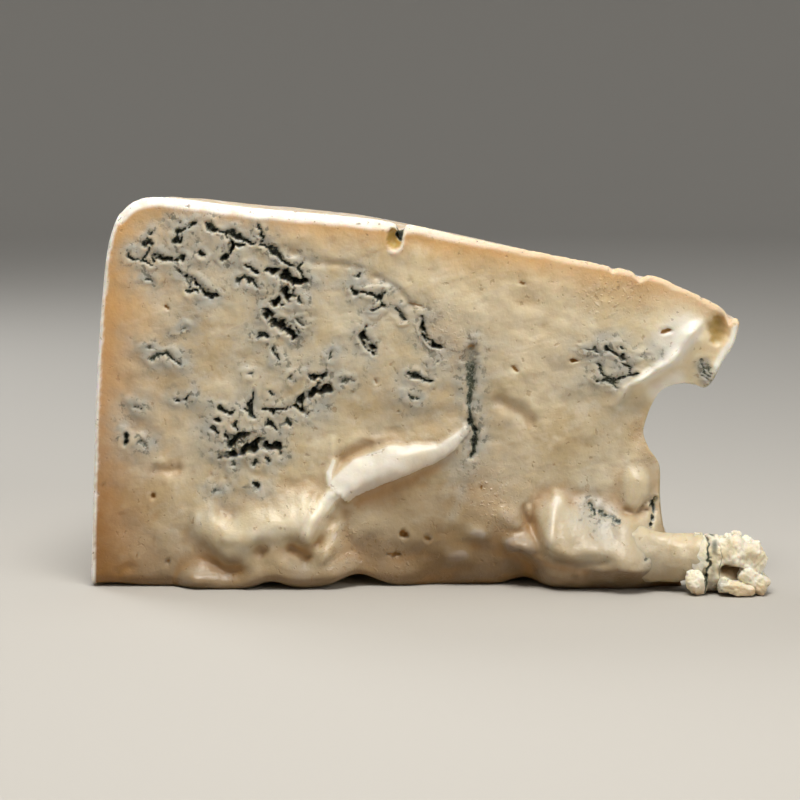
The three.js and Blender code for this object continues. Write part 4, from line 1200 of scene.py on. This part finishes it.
# %% The tongue's rings
TONGUE_AROUND = 72
tongue_rings = carried_profile(tongue_path, side_of(tongue_path), TOWARD, tongue_radii, circle(TONGUE_AROUND))
middle = tongue_path[:, None]
towards_end = smooth_step(124, 132, tongue_rings[..., 0])
halfway = smooth_step(122, 127, tongue_rings[..., 0]) * (1 - smooth_step(129, 133, tongue_rings[..., 0]))
bumps = 1 + (0.10 + 0.12 * halfway) * noise(tongue_rings, 6, 151) + 0.05 * noise(tongue_rings, 2.4, 152)
tongue_rings = middle + (tongue_rings - middle) * bumps[..., None]
tongue_rings[..., 2] = np.maximum(tongue_rings[..., 2], 0)
print(f"tongue from {tongue_rings[..., 0].min():.0f} to {tongue_rings[..., 0].max():.0f} mm")

# %% The tongue's values: painted shade at its foot, creamier towards its end
# painted shade, darker towards the table
low = (0.8 - 0.1 * towards_end) * np.exp(-((tongue_rings[..., 2] / (10 - towards_end)) ** 2))
creamier = 0.34 + 0.22 * towards_end
greyer = (0.3 - 0.2 * towards_end) * smooth_step(2, 9, tongue_rings[..., 2])
tongue_values = {"cream": creamier, "shade": low, "halo": greyer}
tongue_values = {key: np.append(value.ravel(), [0, 0]) for key, value in tongue_values.items()}
tongue_faces = ring_faces(TONGUE_RINGS, TONGUE_AROUND)
make_piece("tongue", closed_rings(tongue_rings), tongue_faces, tongue_values, PASTE)

# %% [markdown]
# ## The drier paste of the crumbled end
# Paste that has dried and broken is mealy: pale grains with painted shade in the gaps between them, chalky
# and rough, and grey-green along the cracks where mould has grown. Its surface has less fat, so it has no
# film of whey and no coat.

# %% The crumbled paste
CRUMBLED_PATTERNS = {"broad": (3.5, 3), "cloud": (5, 2), "grain": (0.8, 5)}
CRUMBLED_STACKS = {
    "crumbs": [
        "#f8f2e2",
        ("#e4d8b8", ("broad", 0.35, 0.7)),
        ("#c9c6b4", ("cloud", 0.5, 0.75, 0, 0.6)),
        # painted shade, browner within a few millimetres of the table
        ("#b58a4c", ("up", 0, 0.004, 0.55, 0)),
        # painted shade in the cave and in the gaps between grains
        ("#74562b", ("pit_shade", 0, 1, 0, 0.9)),
        ("#5e6353", ("mould", 0.15, 0.45)),
        ("#20281c", ("mould", 0.45, 0.8)),
    ],
}


def crumbled_paste(name):
    """Dry, mealy paste: pale grains with painted shade in the gaps, in the cave and near the table, chalky
    and rough, with mould along its cracks.
    """
    material, tree = empty_material(name)
    sources = sources_of(tree, ("mould", "pit_shade"), CRUMBLED_PATTERNS)
    bumps = {"Height": sources["grain"], "Strength": 0.6, "Distance": 0.5 * MM}
    surface = add(tree, "BsdfPrincipled", {
        "Base Color": stacked(tree, sources, CRUMBLED_STACKS), "Roughness": 0.6, "IOR": 1.45,
        "Normal": add(tree, "Bump", bumps).outputs["Normal"],
        "Subsurface Weight": 0.45, "Subsurface Radius": (1.0, 0.6, 0.3), "Subsurface Scale": 1.8 * MM,
    })
    add(tree, "OutputMaterial", {"Surface": surface.outputs["BSDF"]})
    print(f"{name} has {len(tree.nodes)} nodes")
    return material


CRUMBLED = crumbled_paste("crumbled_paste")

# %% [markdown]
# ## The crumbled lump
# The tongue ends in a lump that has dried, cracked along lines of mould and crumbled. It could be a heap of
# many small pieces, but light would show between them. So it is one closed shape of squarish rings, and its
# surface is moved in and out: by grains, which follow the distance to the nearest of many seeds, by chips of
# noise, by cracks, and by a cave low on its front.

# %% The lump's path, cracks, cave and grains
LUMP_LINE = [(133.6, -5.1, 7.6), (136.8, -5.5, 7.6), (140, -5.8, 7.3), (144, -6.0, 7.4), (147.4, -6.2, 6.4),
             (149.4, -6.4, 5.6)]
LUMP_RADII = [4.2, 5.4, 5.0, 5.4, 4.8, 2.6]
LUMP_RINGS, LUMP_AROUND = 150, 150
CRACKS = [(136.9, 0.36, 0.9), (139.6, 0.18, 0.4)]  # reach, half width and depth
CAVE_LINE, CAVE_HALF, CAVE_DEEP = np.array([(141.2, -11.2, 5.2), (147.0, -11.2, 2.4)]), 1.5, 3.8
GRAIN_COUNT, GRAIN_HALF, GRAIN_TALL = 420, 1.2, 0.42


def nearest_distance(points, seeds):
    """Distance from each point to the nearest of the seeds, kept as a running least."""
    least = np.full(points.shape[:-1], np.inf)
    for seed in seeds:
        least = np.minimum(least, np.linalg.norm(points - seed, axis=-1))
    return least


def cracks_at(points):
    """Depth of the cracks: bells across their reach, made ragged by noise."""
    lean = 0.05 * (points[..., 2] - 7)
    place = points[..., 0] - lean + octaves(points, (0.8, 3.5, 177), (0.4, 1.5, 171), (0.25, 0.7, 173))
    return summed_bells(place, CRACKS)


lump_path = smooth_line(LUMP_LINE, np.linspace(0, 1, LUMP_RINGS))
print(f"lump from {lump_path[0, 0]:.1f} to {lump_path[-1, 0]:.1f} mm along the cut")

# %% The lump's surface, moved along its rings' own directions
roundness = np.interp(lump_path[:, 0], [133, 141], [2.0, 3.5])[:, None, None]
square = circle(LUMP_AROUND)
square = square / (np.abs(square) ** roundness).sum(-1, keepdims=True) ** (1 / roundness)
lump = carried_profile(lump_path, side_of(lump_path), TOWARD, evened(LUMP_RADII, LUMP_RINGS, 21), square)
rough = np.interp(lump[..., 0], [135.6, 138, 141], [0.12, 0.5, 1.0])
seeds = np.random.default_rng(181).uniform([133, -13, 0], [152, 1, 14], (GRAIN_COUNT, 3))
granule = np.sqrt(np.clip(1 - (nearest_distance(lump, seeds) / GRAIN_HALF) ** 2, 0, 1))
granule = granule * (0.3 + 0.7 * smooth_step(-0.05, 0.4, noise(lump, 4.5, 178)))
chips = octaves(lump, (0.9, 3.6, 174), (0.5, 1.7, 175), (0.2, 0.8, 176))
cave_points = CAVE_LINE[0] + np.linspace(0, 1, 12)[:, None] * (CAVE_LINE[1] - CAVE_LINE[0])
cave = CAVE_DEEP * np.exp(-((nearest_distance(lump, cave_points) / CAVE_HALF) ** 2))
crack = cracks_at(lump)
shift = rough * (chips + GRAIN_TALL * granule) - 0.8 * crack - cave
from_path = lump - lump_path[:, None]
lump = lump + from_path / np.linalg.norm(from_path, axis=-1, keepdims=True) * shift[..., None]
lump[..., 2] = np.maximum(lump[..., 2], 0)
print(f"surface moved by {shift.min():.1f} to {shift.max():.1f} mm")

# %% The lump's values: painted shade in the cave and in pits between the grains, and mould along the cracks
# painted shade in the cave and between the grains
pit_shade = np.clip(cave / 2.4 + 0.18 * rough * (1 - granule), 0, 1)
wash = 0.3 * np.exp(-(((lump[..., 0] - 138.3) / 1.2) ** 2)) * (0.8 + noise(lump, 3, 179))
lump_mould = np.clip(np.maximum(crack * (0.62 + 0.6 * noise(lump, 2, 172)), wash), 0, 1)
lump_values = {"mould": np.append(lump_mould.ravel(), [0, 0]), "pit_shade": np.append(pit_shade.ravel(), [0, 0])}
make_piece("crumbled_lump", closed_rings(lump), ring_faces(LUMP_RINGS, LUMP_AROUND), lump_values, CRUMBLED)

# %% [markdown]
# ## Loose crumbs
# Small pieces have broken off and lie in and round the lump. Real ones break along flat faces, which a ball
# with noise on it never shows. So a crumb is a box with chipped corners in polar form: in each direction the
# nearest of its planes says how far out it goes. Noise roughens it, and it is flat where it meets the table.

# %% Crumbs, as (middle, half sizes, lean in degrees about the depth axis, roughness)
CRUMBS = [
    ((134.6, -9.2, 2.9), (2.5, 2.8, 2.9), 0, 0.06),
    ((137.6, -4.4, 3.2), (4.6, 4.4, 3.4), 0, 0.08),
    ((143.4, -3.0, 3.6), (4.6, 2.8, 3.6), 0, 0.08),
    ((146.8, -8.0, 3.3), (4.1, 3.8, 2.5), -35, 0.08),
    ((143.2, -10.8, 2.0), (4.1, 1.9, 1.6), -10, 0.10),
    ((140.4, -10.4, 2.4), (1.4, 1.6, 1.9), 0, 0.2),
    ((143.6, -6.2, 12.8), (1.1, 1.3, 1.4), 14, 0.3),
    ((142.0, -6.4, 12.2), (1.2, 1.3, 1.0), -10, 0.3),
    ((145.8, -6.0, 11.6), (1.2, 1.2, 1.3), -20, 0.3),
    ((148.6, -7.2, 7.0), (1.1, 1.4, 1.0), -40, 0.3),
    ((135.0, -5.6, 12.6), (0.7, 1.1, 0.7), 0, 0.25),
]
CRUMB_RINGS, CRUMB_AROUND, CRUMB_POWER = 56, 88, 12
CRUMB_PLANES = 22  # planes that chip the corners of each crumb
print(f"{len(CRUMBS)} crumbs")


# %% The shape of a crumb
def flat_sided(directions, planes, distances, power):
    """How far out flat sides go: (sum of (direction . plane / distance)^p over the planes ahead)^(-1/p)."""
    ahead = np.maximum(directions @ np.transpose(planes), 0) / distances
    return (ahead**power).sum(-1, keepdims=True) ** (-1 / power)


def crumb_rings(middle, half, lean, rough, seed):
    """A box with chipped corners in polar form, drawn to its half sizes, leaned and roughened by noise."""
    polar = np.linspace(0, np.pi, CRUMB_RINGS + 2)[1:-1, None]
    around = np.linspace(0, 2 * np.pi, CRUMB_AROUND, endpoint=False)
    ball = [np.sin(polar) * np.cos(around), np.sin(polar) * np.sin(around), -np.cos(polar)]
    ball = np.stack(np.broadcast_arrays(*ball), -1)
    rng = np.random.default_rng(500 + seed)
    chips = rng.normal(size=(CRUMB_PLANES, 3))
    chips /= np.linalg.norm(chips, axis=1, keepdims=True)
    planes = np.vstack([np.eye(3), -np.eye(3), chips])
    distances = np.append(np.ones(6), rng.uniform(0.9, 1.25, CRUMB_PLANES))
    shape = ball * flat_sided(ball, planes, distances, CRUMB_POWER) * half
    place = shape + seed * 31.0
    bumps = octaves(place, (1, 3.2, 161), (0.7, 1.4, 162))
    crumbly = 0.3 * np.abs(noise(place, 1.1, 163)) + 0.16 * noise(place, 0.6, 164)
    shape = shape + ball * (rough * bumps * np.mean(half) - crumbly)[..., None]
    c, s = math.cos(math.radians(lean)), math.sin(math.radians(lean))
    shape = shape @ np.array([[c, 0, s], [0, 1, 0], [-s, 0, c]]) + middle
    shape[..., 2] = np.maximum(shape[..., 2], 0)
    return shape


# %% All crumbs as one piece
crumb_points = np.vstack([closed_rings(crumb_rings(*crumb, seed)) for seed, crumb in enumerate(CRUMBS)])
first_of_crumb = np.arange(len(CRUMBS)) * (CRUMB_RINGS * CRUMB_AROUND + 2)
crumb_quads, crumb_fans = ring_faces(CRUMB_RINGS, CRUMB_AROUND)
crumb_faces = [faces + first for faces in (crumb_quads, crumb_fans) for first in first_of_crumb]
crumb_values = {"mould": 0.7 * np.clip(cracks_at(crumb_points), 0, 1), "pit_shade": 0}
make_piece("crumbled_end", crumb_points, crumb_faces, crumb_values, CRUMBLED)

# %% [markdown]
# ## Studio
# The object stands in a wide pale bowl: a floor that curves up all round, so that every view has a plain
# background. The key light hangs close above and a little in front, so that it rakes down the cut, shows its
# relief and falls off towards the foot. A fill from the right opens the shadows, a very large light far above
# lights the bowl, and one behind and to the left draws the bright edge of the rind.

# %% Floor
FLOOR_FLAT, FLOOR_BEND, FLOOR_WALL = 1.6, 0.7, 1.0  # metres
bend = np.linspace(0, math.pi / 2, 24)
curve = np.column_stack([FLOOR_FLAT + FLOOR_BEND * np.sin(bend), FLOOR_BEND * (1 - np.cos(bend))])
profile = np.vstack([[(0.001, 0)], curve, [(FLOOR_FLAT + FLOOR_BEND, FLOOR_BEND + FLOOR_WALL)]])
turns = np.linspace(0, 2 * np.pi, 96, endpoint=False)
away, up = profile[:, :1], profile[:, 1:]
bowl = np.stack(np.broadcast_arrays(away * np.cos(turns), away * np.sin(turns), up), -1)
ids = np.arange(bowl[..., 0].size).reshape(bowl.shape[:2])
ids = np.hstack([ids, ids[:, :1]])
floor_mesh = bpy.data.meshes.new("floor")
floor_mesh.from_pydata(bowl.reshape(-1, 3), [], [ids[0, :-1].tolist()] + grid_faces(ids)[:, ::-1].tolist())
floor_mesh.polygons.foreach_set("use_smooth", np.ones(len(floor_mesh.polygons), bool))
floor = bpy.data.objects.new("floor", floor_mesh)
bpy.context.scene.collection.objects.link(floor)
paper = bpy.data.materials.new("pale_paper")  # matt, so that only soft shadows show on it
paper.use_nodes = True
paper_sockets = paper.node_tree.nodes["Principled BSDF"].inputs
paper_sockets["Base Color"].default_value = linear("#b7b4ae")
paper_sockets["Roughness"].default_value = 0.9
floor_mesh.materials.append(paper)
print(f"floor {2 * (FLOOR_FLAT + FLOOR_BEND)} m wide")

# %% Lights
LIGHTS_AIM = np.array([0, 0, 0.04])  # metres


def soft_light(name, place, size, watts, colour):
    """A square area light at a place in metres, turned to the middle of the wedge."""
    light = bpy.data.lights.new(name, "AREA")
    light.shape, light.size, light.energy = "SQUARE", size, watts
    light.color = linear(colour)[:3]
    lamp = bpy.data.objects.new(name, light)
    lamp.location = place
    aim = LIGHTS_AIM - place
    lamp.rotation_euler = (math.atan2(math.hypot(aim[0], aim[1]), -aim[2]), 0, math.atan2(-aim[0], aim[1]))
    bpy.context.scene.collection.objects.link(lamp)


LIGHTS = {  # place and size in metres, watts and colour
    "key": ((0.0, -0.26, 0.50), 0.22, 2.4, "#fffaf2"),
    "fill": ((0.45, -0.45, 0.35), 0.3, 0.95, "#fffaf2"),
    "sky": ((0.0, 0.1, 2.6), 2.4, 24, "#ffffff"),
    "rim": ((-0.50, 0.45, 0.55), 0.35, 2.8, "#ffffff"),
}
for name, settings in LIGHTS.items():
    soft_light(name, *settings)
world = bpy.data.worlds.new("studio")
world.use_nodes = True
world_sockets = world.node_tree.nodes["Background"].inputs
world_sockets["Color"].default_value = linear("#e8e8ea")
world_sockets["Strength"].default_value = 0.12
bpy.context.scene.world = world
bpy.context.scene.view_settings.view_transform = "Standard"
print(f"{len(LIGHTS)} lights")

# %% [markdown]
# ## Camera
# The photo looks square on to the cut with a long lens, a little from above. The lens is set so that one
# millimetre on the cut covers the same share of the frame as in the photo.

# %% Camera
CAMERA_BACK, CAMERA_PITCH = 560.0, math.radians(6.5)
AIM = (69.3, 0.0, 42.2)  # reach, depth and height that the camera looks at
LENS_MM, SENSOR_MM = 113.4, 36.0
camera_data = bpy.data.cameras.new("camera")
camera_data.lens, camera_data.sensor_width = LENS_MM, SENSOR_MM
camera = bpy.data.objects.new("camera", camera_data)
stand = (AIM[0], AIM[1] - CAMERA_BACK * math.cos(CAMERA_PITCH), AIM[2] + CAMERA_BACK * math.sin(CAMERA_PITCH))
camera.location = placed(*stand)
camera.rotation_euler = (math.pi / 2 - CAMERA_PITCH, 0, 0)
bpy.context.scene.collection.objects.link(camera)
bpy.context.scene.camera = camera
print(f"camera {CAMERA_BACK} mm away with a lens of {LENS_MM} mm")
